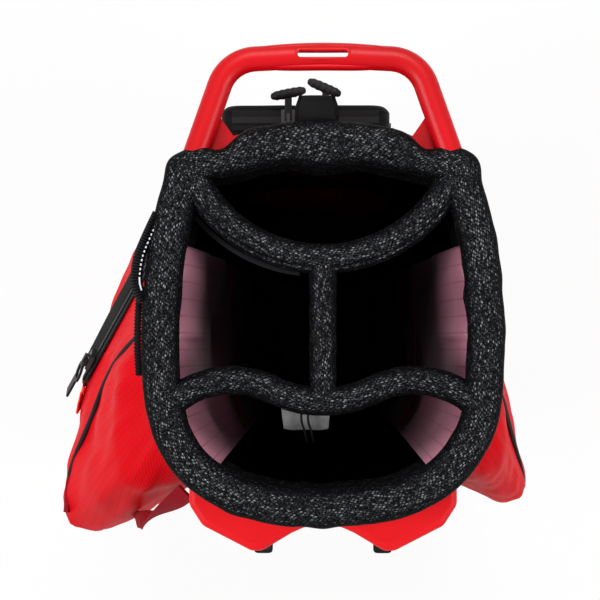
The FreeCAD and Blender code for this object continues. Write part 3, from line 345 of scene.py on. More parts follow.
def plainCloth(name, main, shade, rough=0.8, thread=0.0009):
    # Plain weave: threads one way and the other raise it
    finish = Finish(name, rough=rough, gloss=0.1)
    finish.colour(finish.mottle(30, shade, main))
    threads = [finish.wave(thread, way, source=finish.cloth) for way in "XY"]
    finish.bump(finish.combine("ADD", *threads), 0.00015, 0.6)
    return finish.material


def ribbedWebbing(name, main, shade, pitch=0.0019, rough=0.7):
    # Ribs across the band, the main colour on their tops and painted shade darkening the grooves between them
    finish = Finish(name, rough=rough, gloss=0.12)
    rib = finish.wave(pitch, "X", source=finish.cloth)
    # Painted shade: the second colour goes in the grooves, the main colour on the rib tops
    finish.colour(finish.ramp(rib, ((0.25, shade), (0.8, main))))
    finish.bump(rib, 0.0005, 0.8)
    return finish.material


def purseCloth(name):
    # Red cloth below a black gusset round the top
    finish = Finish(name, rough=0.55, gloss=0.06)
    red = finish.mottle(12, linear(176, 14, 28), linear(206, 22, 36))
    black = finish.mottle(40, linear(8, 8, 9), linear(15, 15, 17))
    finish.colour(finish.blend(finish.span(finish.axis(finish.place, "Z"), 0.748, 0.7485), red, black))
    finish.bump(finish.noise(1200, 3), 0.0002, 0.6)
    return finish.material


def mouldedBlack(name, rough=0.45, light=30):
    # Two near blacks with a fine moulded grain
    finish = Finish(name, rough=rough, gloss=0.15)
    finish.colour(finish.mottle(40, linear(12, 12, 13), linear(light, light, light + 2)))
    finish.bump(finish.noise(1500, 3), 0.00008, 0.6)
    return finish.material


def zipCloth(name, pitch=0.0022):
    # Woven tape with the coil's turns across it, the gaps between the turns darkened as painted shade
    finish = Finish(name, rough=0.5, gloss=0.15)
    turns = finish.wave(pitch, "Z")
    # Painted shade between the turns, lighter on their tops
    finish.colour(finish.ramp(turns, ((0.2, linear(9, 9, 10)), (0.85, linear(32, 32, 35)))))
    finish.bump(turns, 0.0004, 0.7)
    return finish.material


def brushedMetal(name, main, rough=0.32):
    # Metal with streaks drawn out along its height
    finish = Finish(name, rough=rough, metal=1.0)
    streak = finish.noise(60, 4, stretch=(1, 1, 0.05))
    finish.colour(finish.ramp(streak, ((0.3, tuple(0.8 * c for c in main)), (0.7, main))))
    finish.bump(finish.noise(700, 2, stretch=(1, 1, 0.05)), 0.00004, 0.4)
    return finish.material


materials = {
    "redPlastic": glossyPlastic("redPlastic", linear(208, 0, 16), linear(194, 0, 12)),
    "redSatin": glossyPlastic("redSatin", linear(250, 24, 34), linear(242, 16, 26), rough=0.5, coat=0.0),
    "airMesh": airMesh("airMesh"),
    "redRipstop": ripstop("redRipstop", linear(238, 14, 30), linear(222, 8, 22), linear(176, 4, 14)),
    "mauveLining": liningCloth("mauveLining", linear(164, 106, 124), linear(146, 88, 106), linear(104, 34, 52)),
    "seamTape": plainCloth("seamTape", linear(220, 26, 54), linear(190, 18, 42)),
    "purseCloth": purseCloth("purseCloth"),
    "blackCloth": plainCloth("blackCloth", linear(24, 24, 26), linear(13, 13, 14)),
    "shellCloth": plainCloth("shellCloth", linear(30, 30, 33), linear(18, 18, 20), thread=0.0012),
    "wallCloth": plainCloth("wallCloth", linear(22, 24, 23), linear(14, 16, 15)),
    "pipingCloth": plainCloth("pipingCloth", linear(34, 35, 38), linear(24, 25, 27), rough=0.6),
    # Each webbing's second colour is the painted shade in its grooves
    "blackWebbing": ribbedWebbing("blackWebbing", linear(42, 42, 45), linear(7, 7, 8)),
    "redWebbing": ribbedWebbing("redWebbing", linear(178, 22, 38), linear(128, 10, 24), pitch=0.0012),
    "blackPlastic": mouldedBlack("blackPlastic"),
    "gripRubber": mouldedBlack("gripRubber", rough=0.5, light=44),
    "rubber": mouldedBlack("rubber", rough=0.8),
    "darkTube": brushedMetal("darkTube", linear(70, 70, 74)),
    "steel": brushedMetal("steel", linear(170, 170, 172)),
    "sliderMetal": brushedMetal("sliderMetal", linear(74, 74, 77), rough=0.35),
    "zipCloth": zipCloth("zipCloth"),
    "labelCloth": plainCloth("labelCloth", linear(176, 175, 176), linear(92, 91, 92), rough=0.5),
    "reflectiveThread": plainCloth("reflectiveThread", linear(240, 242, 250), linear(205, 208, 225)),
    "orangeThread": plainCloth("orangeThread", linear(255, 120, 60), linear(235, 90, 40)),
}
print("materials are made")

nodeFinish = {
    "redPlastic": ("top_frame",), "redSatin": ("leg_cover",),
    "blackPlastic": ("base_cup", "base_foot", "hinge_block_left", "hinge_block_right", "left_leg_knuckle",
                     "right_leg_knuckle", "left_rod_clip", "right_rod_clip", "strap_buckles", "left_pull",
                     "right_pull", "ball_pull"),
    "steel": ("foot_hinge_pin", "leg_pins", "left_push_rod", "right_push_rod"),
    "sliderMetal": ("left_slider", "right_slider", "ball_slider", "rear_slider_a", "rear_slider_b"),
    "darkTube": ("left_leg_tube", "right_leg_tube", "stays"),
    "rubber": ("left_leg_foot", "right_leg_foot"),
    "zipCloth": ("left_zip", "right_zip", "ball_zip", "rear_zip"),
    "blackWebbing": ("strap_webbing",),
}
for finishName, names in nodeFinish.items():
    for name in names:
        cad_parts[name].data.materials.clear()
        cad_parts[name].data.materials.append(materials[finishName])


def gridFaces(rows, columns, closedRows=False, closedColumns=False):
    # Four-cornered faces between neighbouring points of a rows by columns grid
    r = np.arange(rows if closedRows else rows - 1)
    c = np.arange(columns if closedColumns else columns - 1)
    r0, c0 = np.meshgrid(r, c, indexing="ij")
    r1, c1 = (r0 + 1) % rows, (c0 + 1) % columns
    return np.stack([r0 * columns + c0, r1 * columns + c0, r1 * columns + c1, r0 * columns + c1], -1).reshape(-1, 4)


def addPiece(name, points, faces, finish, cloth, body="bag"):
    # Points, and one (u, v) of cloth for each, in millimetres; doubles are merged and the faces turned outwards
    mesh = bpy.data.meshes.new(name)
    mesh.from_pydata((points.reshape(-1, 3) * millimetre).tolist(), [], [tuple(face) for face in faces])
    layer = mesh.uv_layers.new(name="cloth")
    corners = np.empty(len(mesh.loops), dtype=np.int64)
    mesh.loops.foreach_get("vertex_index", corners)
    layer.data.foreach_set("uv", (cloth.reshape(-1, 2)[corners] * millimetre).astype(np.float32).ravel())
    mesh.polygons.foreach_set("use_smooth", [True] * len(mesh.polygons))
    mesh.materials.append(materials[finish])
    work = bmesh.new()
    work.from_mesh(mesh)
    bmesh.ops.remove_doubles(work, verts=work.verts, dist=mergeWithin)
    bmesh.ops.recalc_face_normals(work, faces=work.faces)
    work.to_mesh(mesh)
    work.free()
    piece = bpy.data.objects.new(name, mesh)
    show(piece)
    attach(piece, body)
    return piece


def lengths(path):
    # Distance run along a path at each of its points
    return np.concatenate([[0], np.cumsum(np.linalg.norm(np.diff(path, axis=0), axis=1))])


def resample(path, count):
    # The same path with evenly spaced points
    run = lengths(path)
    at = np.linspace(0, run[-1], count)
    return np.stack([np.interp(at, run, path[:, k]) for k in range(path.shape[1])], 1)


def smoothPath(points, count):
    # A smooth line through a few points, each stretch a Catmull-Rom curve
    points = np.asarray(points, float)
    ends = np.concatenate([[2 * points[0] - points[1]], points, [2 * points[-1] - points[-2]]])
    t = np.linspace(0, 1, 24)[:, None]
    parts = []
    for k in range(len(points) - 1):
        a, b, c, d = ends[k:k + 4]
        bend, twist = 2 * a - 5 * b + 4 * c - d, 3 * b - a - 3 * c + d
        parts.append(0.5 * (2 * b + (c - a) * t + bend * t ** 2 + twist * t ** 3))
    return resample(np.concatenate(parts), count)


def unit(vectors):
    # Each vector divided by its length
    return vectors / np.maximum(np.linalg.norm(vectors, axis=-1, keepdims=True), 1e-9)


def clothOf(rows, columns):
    # Every pair of a row's and a column's distance, as (u, v)
    return np.stack(np.meshgrid(rows, columns, indexing="ij"), -1)


def around(count):
    # Evenly spaced angles of one full turn
    return np.linspace(0, 2 * math.pi, count, endpoint=False)


def bulged(values, power):
    # Each value raised to a power, with its sign kept: below 1 it squares a circle's corners
    return np.sign(values) * np.abs(values) ** power


def always(direction, path):
    # One direction repeated for every point of a path
    return np.tile(np.asarray(direction, float), (len(path), 1))


def raised(plan, level):
    # Plan points given a height each; level fits the plan's last row of points, or is one number
    return np.concatenate([plan, np.broadcast_to(level, plan.shape[:-1])[..., None]], -1)


def rightOf(run):
    # Plan directions turned a quarter to the right
    return np.stack([run[:, 1], -run[:, 0]], 1)


def swept(name, path, across, lift, profile, finish, body="bag", closed=False):
    # A closed profile carried along a path, with flat ends; profile may change from point to point
    shape = profile if profile.ndim == 3 else np.repeat(profile[None], len(path), 0)
    points = path[:, None] + shape[..., :1] * across[:, None] + shape[..., 1:] * lift[:, None]
    columns = shape.shape[1]
    faces = gridFaces(len(path), columns, closedRows=closed, closedColumns=True).tolist()
    if not closed:
        faces += [list(range(columns))[::-1], [(len(path) - 1) * columns + k for k in range(columns)]]
    return addPiece(name, points, faces, finish,
                    clothOf(lengths(path), lengths(shape[0])), body)


def circle(radius, count=12, flat=1.0):
    # Points of a circle, or of an oval when flat is not 1
    angle = around(count)
    return np.stack([radius * np.cos(angle), flat * radius * np.sin(angle)], 1)


def sideways(path, upward=(0, 0, 1.0)):
    # For each point of a path, the level direction across it and the direction above both
    run = unit(np.gradient(path, axis=0))
    across = unit(np.cross(run, always(upward, path)))
    return across, unit(np.cross(across, run))


def tube(name, path, radius, finish, count=12, flat=1.0, upward=(0, 0, 1.0)):
    # A circle or an oval carried along a path
    across, lift = sideways(path, upward)
    return swept(name, path, across, lift, circle(radius, count, flat), finish)


def strap(name, path, across, lift, wide, thick, finish, body="bag", taper=1.0):
    # A flat band with rounded edges; across, lift and taper are given for each point
    angle = around(28)
    shape = np.stack([wide / 2 * bulged(np.cos(angle), 0.35), thick / 2 * bulged(np.sin(angle), 0.7)], 1)
    shape = np.repeat(shape[None], len(path), 0)
    shape[..., 0] *= np.reshape(taper * np.ones(len(path)), (-1, 1))
    return swept(name, path, across, lift, shape, finish, body)


def endFaces(rows, columns, n):
    # Strips that close the first and last rows of a grid whose columns go out along one face and back along another
    k = np.arange(n - 1)
    strip = np.stack([k, k + 1, columns - 2 - k, columns - 1 - k], 1)
    return np.concatenate([strip[:, ::-1], strip + (rows - 1) * columns]).tolist()


def waves(u, v, count, size, shortest, longest):
    # Soft folds: a sum of sine waves with random directions, lengths and phases
    total = np.zeros_like(u)
    for _ in range(count):
        length = rng.uniform(shortest, longest)
        angle = rng.uniform(0, math.pi)
        total += np.sin(2 * math.pi * (u * math.cos(angle) + v * math.sin(angle)) / length + rng.uniform(0, 6.3))
    return size * total / math.sqrt(count)


def wavyLine(count, knots, size):
    # A closed line of random heights, eased between its knots
    heights = rng.normal(0, size, knots)
    at = np.arange(count) * knots / count
    base = np.floor(at).astype(int)
    part = at - base
    soft = part * part * (3 - 2 * part)
    return heights[base % knots] * (1 - soft) + heights[(base + 1) % knots] * soft


collar = {
    "half": 120.0, "front": 130.0, "back": 138.0, "sideCentre": -6.0,
    "frontRadius": 200.0, "backRadius": 240.0, "sideRadius": 375.0, "frontCorner": 88.0, "backCorner": 32.0,
    "top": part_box("collar_pad_front")[1][2] / millimetre,
}


def circleMeeting(a, ra, b, rb):
    # The rightmost of the two points where two circles cross, from the triangle of their middles
    gap = b - a
    span = np.linalg.norm(gap)
    along = (ra ** 2 - rb ** 2 + span ** 2) / (2 * span)
    off = math.sqrt(ra ** 2 - along ** 2)
    way = gap / span
    return max((a + way * along + off * np.array([-way[1], way[0]]) * s for s in (1, -1)), key=lambda p: p[0])


def arcPoints(centre, radius, start, end, count):
    # Points of a circle from one direction round the shorter way to another
    a0 = math.atan2(*(start - centre)[::-1])
    a1 = math.atan2(*(end - centre)[::-1])
    a1 = a0 + (a1 - a0 + math.pi) % (2 * math.pi) - math.pi
    t = np.linspace(a0, a1, count)
    return np.stack([centre[0] + radius * np.cos(t), centre[1] + radius * np.sin(t)], 1)


def collarHalf(inset=0.0):
    # Right half of the outline moved inwards, from the front middle to the rear middle
    front = np.array([0, collar["frontRadius"] - collar["front"]])
    back = np.array([0, collar["back"] - collar["backRadius"]])
    side = np.array([collar["half"] - collar["sideRadius"], collar["sideCentre"]])
    rs, rf, rb = collar["sideRadius"], collar["frontRadius"], collar["backRadius"]
    fc, bc = collar["frontCorner"], collar["backCorner"]
    frontMiddle = circleMeeting(front, rf - fc, side, rs - fc)
    backMiddle = circleMeeting(back, rb - bc, side, rs - bc)

    def toward(centre, far, radius):
        # The point of a circle in the direction of another point
        return centre + (far - centre) / np.linalg.norm(far - centre) * radius

    p0, p5 = np.array([0, front[1] - rf + inset]), np.array([0, back[1] + rb - inset])
    p1, p2 = toward(front, frontMiddle, rf - inset), toward(side, frontMiddle, rs - inset)
    p3, p4 = toward(side, backMiddle, rs - inset), toward(back, backMiddle, rb - inset)
    parts = [arcPoints(front, rf - inset, p0, p1, 20), arcPoints(frontMiddle, fc - inset, p1, p2, 30)[1:],
             arcPoints(side, rs - inset, p2, p3, 40)[1:], arcPoints(backMiddle, bc - inset, p3, p4, 24)[1:],
             arcPoints(back, rb - inset, p4, p5, 24)[1:]]
    return np.concatenate(parts)


def collarLoop(count, inset=0.0):
    # Evenly spaced points of the whole outline with outward directions, anticlockwise from the front middle
    half = collarHalf(inset)
    mirrored = half[::-1][1:-1] * np.array([-1, 1])
    loop = resample(np.concatenate([half, mirrored, half[:1]]), count + 1)[:-1]
    run = unit(np.roll(loop, -1, axis=0) - np.roll(loop, 1, axis=0))
    return loop, rightOf(run)


collarPad = {
    "width": 25.0, "height": 16.5, "innerDrop": 30.0, "innerLean": 4.0, "bump": 5.5, "bumpWidth": 20.0,
    "notch": 8.0, "notchAt": (70.0, 128.0), "notchWidth": 12.0, "ear": 2.6, "earAt": (98.0, 110.0), "earWidth": 8.0,
    "swell": 2.0, "swellAt": (52, 134), "swellWidth": 26, "crease": 1.6, "creaseAt": (86, 124), "creaseWidth": 7,
    "wobble": 0.3, "sway": 0.35, "binding": 1.3, "bindingIn": 1.6, "points": 640,
}


def near(points, spot, width):
    # 1 at a spot and at its mirror image, fading away from both
    x, y = points.T
    return sum(np.exp(-((x - s * spot[0]) ** 2 + (y - spot[1]) ** 2) / width ** 2) for s in (1, -1))


def makeCollarPad():
    # A rounded band carried round the outline; its inner side runs on down into the bag
    loop, outward = collarLoop(collarPad["points"])
    w, h, drop = collarPad["width"] / 2, collarPad["height"], collarPad["innerDrop"]
    angle = np.linspace(-0.2 * math.pi, 1.1 * math.pi, 52)
    ct, st = np.cos(angle), np.sin(angle)
    top = np.stack([w * bulged(ct, 0.85) - w, h * 0.58 * (bulged(st, 0.92) - 1)], 1)
    deep = np.linspace(top[-1, 1] - 1.5, -h - drop, 14)
    wall = np.stack([-2 * w + 1.2 - collarPad["innerLean"] * ((deep - deep[0]) / (deep[-1] - deep[0])) ** 1.5, deep], 1)
    wall[:, 0] += 0.8 * np.sin(np.linspace(0, math.pi, 14))
    back = np.stack([np.linspace(wall[-1, 0] + 2.5, top[0, 0] - 2, 12), np.full(12, -h + 0.2)], 1)
    back[0] = (wall[-1, 0] + 2.5, -h - drop + 0.4)
    profile = np.concatenate([top, wall, back])
    high = profile[:, 1] > -h
    shape = np.repeat(profile[None], len(loop), 0)
    bump = collarPad["bump"] * np.exp(-(loop[:, 0] / collarPad["bumpWidth"]) ** 2) * (loop[:, 1] > 0)
    bump += collarPad["swell"] * near(loop, collarPad["swellAt"], collarPad["swellWidth"])
    shape[..., 0] *= (1 + bump / (2 * w))[:, None]
    notch = collarPad["notch"] * near(loop, collarPad["notchAt"], collarPad["notchWidth"])
    ear = collarPad["ear"] * near(loop, collarPad["earAt"], collarPad["earWidth"])
    outer = np.clip((shape[..., 0] + 1.6 * w) / (1.6 * w), 0, 1)
    shape[..., 0] += outer * (ear - notch)[:, None]
    crease = collarPad["crease"] * near(loop, collarPad["creaseAt"], collarPad["creaseWidth"])
    shape[..., 1] -= crease[:, None] * high
    shape[..., 1] += wavyLine(len(loop), 90, collarPad["wobble"])[:, None] * high
    shape[..., 0] += wavyLine(len(loop), 70, collarPad["sway"])[:, None]
    side, lift = raised(outward, 0.0), always((0, 0, 1), loop)
    piece = swept("collarPad", raised(loop, collar["top"]), side, lift, shape, "airMesh", closed=True)
    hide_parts("collar_pad_front", "collar_pad_rear")
    rim = loop - outward * (collarPad["bindingIn"] + notch - 0.8 * ear)[:, None]
    swept("collarBinding", raised(rim, collar["top"] - h * 0.9), side, lift, circle(collarPad["binding"], 10),
          "pipingCloth", closed=True)


makeCollarPad()
print("collar pad is made")


divider = {
    "half": 10.0, "height": 15.5, "skirt": 22.0, "rearArc": 95.0, "rearDip": 47.0, "waveRadius": 75.0,
    "waveLow": 47.0, "waveSide": 60.0, "waveRise": 14.0, "inset": 13.0, "sink": 1.5,
}


def insideCollar(points, inset):
    # True where a plan point lies within the outline moved inwards
    x, y = np.abs(points[:, 0]), points[:, 1]
    front = np.hypot(x, y - (collar["frontRadius"] - collar["front"])) < collar["frontRadius"] - inset
    back = np.hypot(x, y - (collar["back"] - collar["backRadius"])) < collar["backRadius"] - inset
    middle = collar["half"] - collar["sideRadius"]
    side = np.hypot(x - middle, y - collar["sideCentre"]) < collar["sideRadius"] - inset
    return front & back & side


def rearLine():
    # Arc of the rear divider, cut where it meets the collar
    centreY = divider["rearDip"] + divider["rearArc"]
    a = np.linspace(math.radians(200), math.radians(340), 400)
    path = np.stack([divider["rearArc"] * np.cos(a), centreY + divider["rearArc"] * np.sin(a)], 1)
    return path[insideCollar(path, divider["inset"])]


def frontLine():
    # Wave of the front divider: a middle trough between two crests that touch it smoothly
    dip, span, rise = divider["waveRadius"], divider["waveSide"], divider["waveRise"]
    trough = np.array([0, dip - divider["waveLow"]])
    crestTop = rise - divider["waveLow"]
    drop = trough[1] - crestTop
    crest = (span ** 2 + drop ** 2 - dip ** 2) / (2 * (dip - drop))
    middle = np.array([span, crestTop - crest])
    x = np.linspace(0, 110, 240)
    meetX = span * dip / (dip + crest)
    inner = trough[1] - np.sqrt(np.maximum(dip ** 2 - x ** 2, 0))
    outer = middle[1] + np.sqrt(np.maximum(crest ** 2 - (x - middle[0]) ** 2, 0))
    right = np.stack([x, np.where(x < meetX, inner, outer)], 1)
    path = np.concatenate([right[::-1] * np.array([-1, 1]), right[1:]])
    return path[insideCollar(path, divider["inset"])]


def centreLine():
    # Straight line between the two dividers' middles
    y = np.linspace(-divider["waveLow"] + 4, divider["rearDip"] - 4, 90)
    return np.stack([np.zeros_like(y), y], 1)


def makeDividerPad(name, line, node, half, seam=0.0, endSwell=0.0):
    # A half-round padded tube with straight skirts, carried along the divider's line
    path2 = resample(line, 200)
    run = unit(np.gradient(path2, axis=0))
    side = raised(rightOf(run), 0.0)
    angle = np.linspace(0, math.pi, 40)
    h = divider["height"]
    ct, st = np.cos(angle), np.sin(angle)
    cap = np.stack([half * bulged(ct, 0.9), (st ** 0.95 - 1) * h * 0.62], 1)
    cap[:, 1] -= seam * np.exp(-((cap[:, 0] - half * 0.62) / 0.7) ** 2)
    skirt = np.linspace(-0.62 * h, -divider["skirt"], 8)[1:]
    tuck = 0.12 * (-skirt - 0.62 * h)
    left = np.stack([-half + tuck, skirt], 1)
    right = np.stack([half - tuck, skirt], 1)[::-1]
    floor = np.stack([np.linspace(left[-1, 0], right[0, 0], 8)[1:-1], np.full(6, skirt[-1])], 1)
    profile = np.concatenate([cap, left, floor, right])
    shape = np.repeat(profile[None], len(path2), 0)
    share = np.linspace(-1, 1, len(path2))
    swell = 1 + wavyLine(len(path2), 30, 0.018) + endSwell * np.exp(-((np.abs(share) - 1) / 0.07) ** 2)
    shape[..., 0] *= swell[:, None]
    shape[..., 1] -= 1.2 * (1 - np.sqrt(np.clip(1 - share ** 24, 0, 1)))[:, None]
    path = raised(path2, collar["top"] - divider["sink"])
    piece = swept(name, path, side, always((0, 0, 1), path), shape, "airMesh")
    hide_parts(node)


makeDividerPad("rearDividerPad", rearLine(), "divider_pad_rear", divider["half"], seam=1.6)
makeDividerPad("frontDividerPad", frontLine(), "divider_pad_front", divider["half"] - 0.6, endSwell=0.1)
makeDividerPad("centreDividerPad", centreLine(), "divider_pad_centre", 9.0)


wallTape = {"from": 214, "to": 262, "points": 60, "beyond": 13, "closing": 3, "drop": 27.0,
            "wide": 3.4, "thick": 1.2}


def makeWallTape():
    # Bound edge of the cloth below the rear divider's left half: an arc that closes on the divider's own
    count = wallTape["points"]
    centreY = divider["rearDip"] + divider["rearArc"]
    a = np.radians(np.linspace(wallTape["from"], wallTape["to"], count))
    reach = divider["rearArc"] + wallTape["beyond"] - wallTape["closing"] * np.linspace(0, 1, count)
    plan = np.stack([reach * np.cos(a), centreY + reach * np.sin(a)], 1)
    path = raised(plan, collar["top"] - wallTape["drop"])
    across, lift = sideways(path)
    strap("wallTape", path, across, lift, wallTape["wide"], wallTape["thick"], "pipingCloth")


makeWallTape()
print("divider pads are made")


lining = {
    "top": 838.0, "low": 120.0, "inset": 22.0, "lean": 54.0, "front": -92.0, "back": 60.0,
    "seamAt": 640.0, "seamWide": 9.0, "folds": 3.0, "ripple": 2.4, "thick": 0.8,
}


def makeLining(name, side, node):
    # Cloth hung inside the side wall: it leans inwards as it goes down
    half = collarHalf(lining["inset"])
    half = half[(half[:, 1] > lining["front"]) & (half[:, 1] < lining["back"]) & (half[:, 0] > 40)]
    line = resample(half, 90)
    rows = np.linspace(0, 1, 110)
    z = lining["top"] + (lining["low"] - lining["top"]) * rows
    run = unit(np.gradient(line, axis=0))
    inward = -rightOf(run)
    run2 = lengths(line)
    u, v = np.meshgrid(run2, lengths(np.stack([z, z * 0], 1)), indexing="ij")
    drift = lining["lean"] * rows ** 0.5
    edge = 0.8 + 0.2 * np.sin(np.linspace(0, math.pi, len(line)))
    fold = waves(u, v, 5, lining["folds"], 60, 160) * np.clip(rows * 6, 0, 1) * edge[:, None]
    fold += lining["ripple"] * np.sin(u / 7.0 + v / 40.0) * np.exp(-v / 45.0) * (u > run2[-1] * 0.6)
    plan = line[:, None] + inward[:, None] * (drift[None] * edge[:, None] + fold)[..., None]
    points = raised(plan, z)
    points[..., 0] *= side
    within = raised(inward * [side, 1], 0.0)
    both = np.concatenate([points, (points - within[:, None] * lining["thick"])[:, ::-1]], 1)
    columns = both.shape[1]
    faces = gridFaces(len(line), columns, closedColumns=True).tolist() + endFaces(len(line), columns, len(rows))
    vv = np.concatenate([v[0], v[0][::-1]])
    piece = addPiece(name, both, faces, "mauveLining", clothOf(run2, vv))
    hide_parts(node)
    drop = lengths(points[len(line) // 2])[-1]
    hem = lengths(points[:, len(rows) // 2])[-1]
    at = int(np.argmin(np.abs(z - lining["seamAt"])))
    seam = (points[:, at] + within * lining["thick"])[3:-3]
    across, lift = sideways(seam)
    strap(name + "Seam", seam, lift, across, lining["seamWide"], 1.0, "seamTape")


makeLining("leftLining", -1, "lining_left")
makeLining("rightLining", 1, "lining_right")
print("lining is made")


pocket = {
    "corners": {-1: ((-108, 94), (-148, 60), (-184, -50), (-197, -124), (-193, -147), (-165, -153), (-80, -104)),
                1: ((104, 72), (140, -50), (154, -112), (150, -125), (137, -128), (84, -106))},
    "roots": {-1: ((-96, 80), (-93.5, 58.5), (-122, -24), (-118, -62), (-112, -82), (-104, -92), (-80, -92)),
              1: ((102, 70), (117, -20), (112, -60), (107, -72), (100, -84), (80, -94))},
    "heights": (78.0, 84.0, 200.0, 640.0, 790.0), "depths": (0.62, 0.7, 1.0, 1.0, 0.15), "inset": 8.6,
    "top": 807.0, "closing": 745.0, "columns": 200, "folds": 1.5, "creases": 0.35, "round": 0.22,
    "hem": 30, "zipHalf": 10, "zipFade": 16,
    "zips": {-1: ((-180, -35, 642), (-120, 54, 735)), 1: ((137, -40, 205), (137, -40, 545))},
}


def roundedChain(corners, share):
    # A chain of straight sides whose inner corners are eased by curves that start a share of the side away
    out = [corners[0]]
    for k in range(1, len(corners) - 1):
        a, b, c = corners[k - 1:k + 2]
        start, end = b + (a - b) * share, b + (c - b) * share
        t = np.linspace(0, 1, 9)[:, None]
        out += list(start * (1 - t) ** 2 + 2 * b * t * (1 - t) + end * t ** 2)
    out.append(corners[-1])
    return np.array(out)


def shellSpot(point):
    # The point of the shell's outline nearest to a plan point
    half = collarHalf(pocket["inset"])
    line = half * np.array([np.sign(point[0]), 1])
    return line[np.argmin(np.linalg.norm(line - point, axis=1))]


def pocketSkin(side):
    # Rows of points at rising heights, with the outer chain first and the back chain after it
    corners, roots = np.array(pocket["corners"][side], float), np.array(pocket["roots"][side], float)
    low, _, waist, shoulder, _ = pocket["heights"]
    stretches = ((low, waist, 24), (waist, shoulder, 60), (shoulder, pocket["top"], 70))
    z = np.concatenate([[low]] + [np.linspace(*stretch)[1:] for stretch in stretches])
    closing = np.clip((z - pocket["closing"]) / (pocket["top"] - pocket["closing"]), 0, 1)
    fullness = 0.06 + 0.94 * (0.5 + 0.5 * np.cos(math.pi * closing))
    depth = np.interp(z, pocket["heights"], pocket["depths"])
    first, last = shellSpot(roots[0]), shellSpot(roots[-1])
    half = collarHalf(pocket["inset"]) * np.array([side, 1])
    i0, i1 = (int(np.argmin(np.linalg.norm(half - spot, axis=1))) for spot in (first, last))
    n = pocket["columns"] // 2
    backChain = resample(half[i1:i0 + 1], n)
    rows = []
    for d, full in zip(depth, fullness):
        section = roots + (corners - roots) * d
        chain = resample(roundedChain(np.concatenate([[first], section, [last]]), pocket["round"]), n)
        rows.append(np.concatenate([backChain[::-1] + (chain - backChain[::-1]) * full, backChain]))
    return raised(np.array(rows), z[:, None]), z, n


def segmentGap(points, start, end):
    # Distance of each point from a straight line between two ends
    start, way = np.array(start, float), np.array(end, float) - np.array(start, float)
    t = np.clip((points - start) @ way / (way @ way), 0, 1)
    return np.linalg.norm(points - start - t[..., None] * way, axis=-1)


def foldSkin(points, z, n, side):
    # The outer chain pushed along its outward direction by soft folds, which fade at its ends, hem and zip
    outer = points[:, :n]
    normal = unit(np.cross(unit(np.gradient(outer, axis=1)), unit(np.gradient(outer, axis=0))))
    normal *= np.sign(np.sum(normal * (outer * [1, 1, 0]), -1).mean())
    u = lengths(outer[len(z) // 2])[None] * np.ones((len(z), 1))
    v = lengths(np.stack([z, z * 0], 1))[:, None] * np.ones((1, n))
    size = pocket["folds"]
    fold = waves(u, v, 7, size, 45, 150) + waves(u, v, 4, size * pocket["creases"], 18, 40)
    column = np.arange(n)
    ends = np.clip(np.minimum(column, column[::-1]) / 8, 0, 1)[None]
    hem = np.clip((z - pocket["heights"][0]) / pocket["hem"], 0, 1)[:, None]
    fromZip = segmentGap(outer, *pocket["zips"][side]) - pocket["zipHalf"]
    fold *= ends * hem * np.clip(fromZip / pocket["zipFade"], 0, 1)
    points = points.copy()
    points[:, :n] = outer + normal * fold[..., None]
    across = np.concatenate([u[0], u[0][-1] + np.arange(points.shape[1] - n)])
    return points, normal, clothOf(v[:, 0], across)[..., ::-1]


def makePocket(name, side, node):
    # The folded skin closed at its hem and its top; its outer chain and outward directions are handed on
    points, z, n = pocketSkin(side)
    points, normal, cloth = foldSkin(points, z, n, side)
    columns = points.shape[1]
    faces = gridFaces(len(z), columns, closedColumns=True).tolist() + endFaces(len(z), columns, n)
    piece = addPiece(name, points, faces, "redRipstop", cloth)
    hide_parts(node)
    return points[:, :n], normal


leftSkin, leftNormal = makePocket("leftPocketCloth", -1, "left_pocket")
rightSkin, rightNormal = makePocket("rightPocketCloth", 1, "right_pocket")


smoothingPasses = 80


def onSkin(skin, normal, path, off):
    # Each point of a path moved to the nearest point of a pocket's skin, then lifted off it and smoothed
    flat, ways = skin.reshape(-1, 3), normal.reshape(-1, 3)
    index = np.argmin(np.sum((flat[None] - path[:, None]) ** 2, -1), axis=1)
    spots = flat[index]
    for _ in range(smoothingPasses):
        spots[1:-1] = 0.5 * spots[1:-1] + 0.25 * (spots[:-2] + spots[2:])
    way = unit(ways[index])
    return spots + way * off, way


piping = {
    "left": ((-122, 2, 775), (-132, -14, 742), (-155, -44, 692), (-170, -77, 662), (-184, -106, 640),
             (-194, -128, 638), (-195, -144, 636), (-200, -146, 560), (-200, -146, 380), (-200, -146, 200),
             (-170, -125, 90)),
    "right": ((121, -36, 776), (138, -66, 700), (150, -98, 662), (153, -118, 640), (153, -118, 540),
              (153, -118, 380), (153, -118, 200), (142, -106, 90)),
    "radius": 1.9, "off": 0.6,
}
for key, skin, normal in (("left", leftSkin, leftNormal), ("right", rightSkin, rightNormal)):
    spots, _ = onSkin(skin, normal, smoothPath(piping[key], 220), piping["off"])
    tube(key + "Piping", spots, piping["radius"], "pipingCloth", upward=(0.3, 1.0, 0.2))
print("pockets are made")

bag = {"inset": 9.3, "low": 45.0, "high": 812.0, "thick": 1.4, "folds": 1.2, "tuck": 1.2, "calm": 40, "waves": 9}


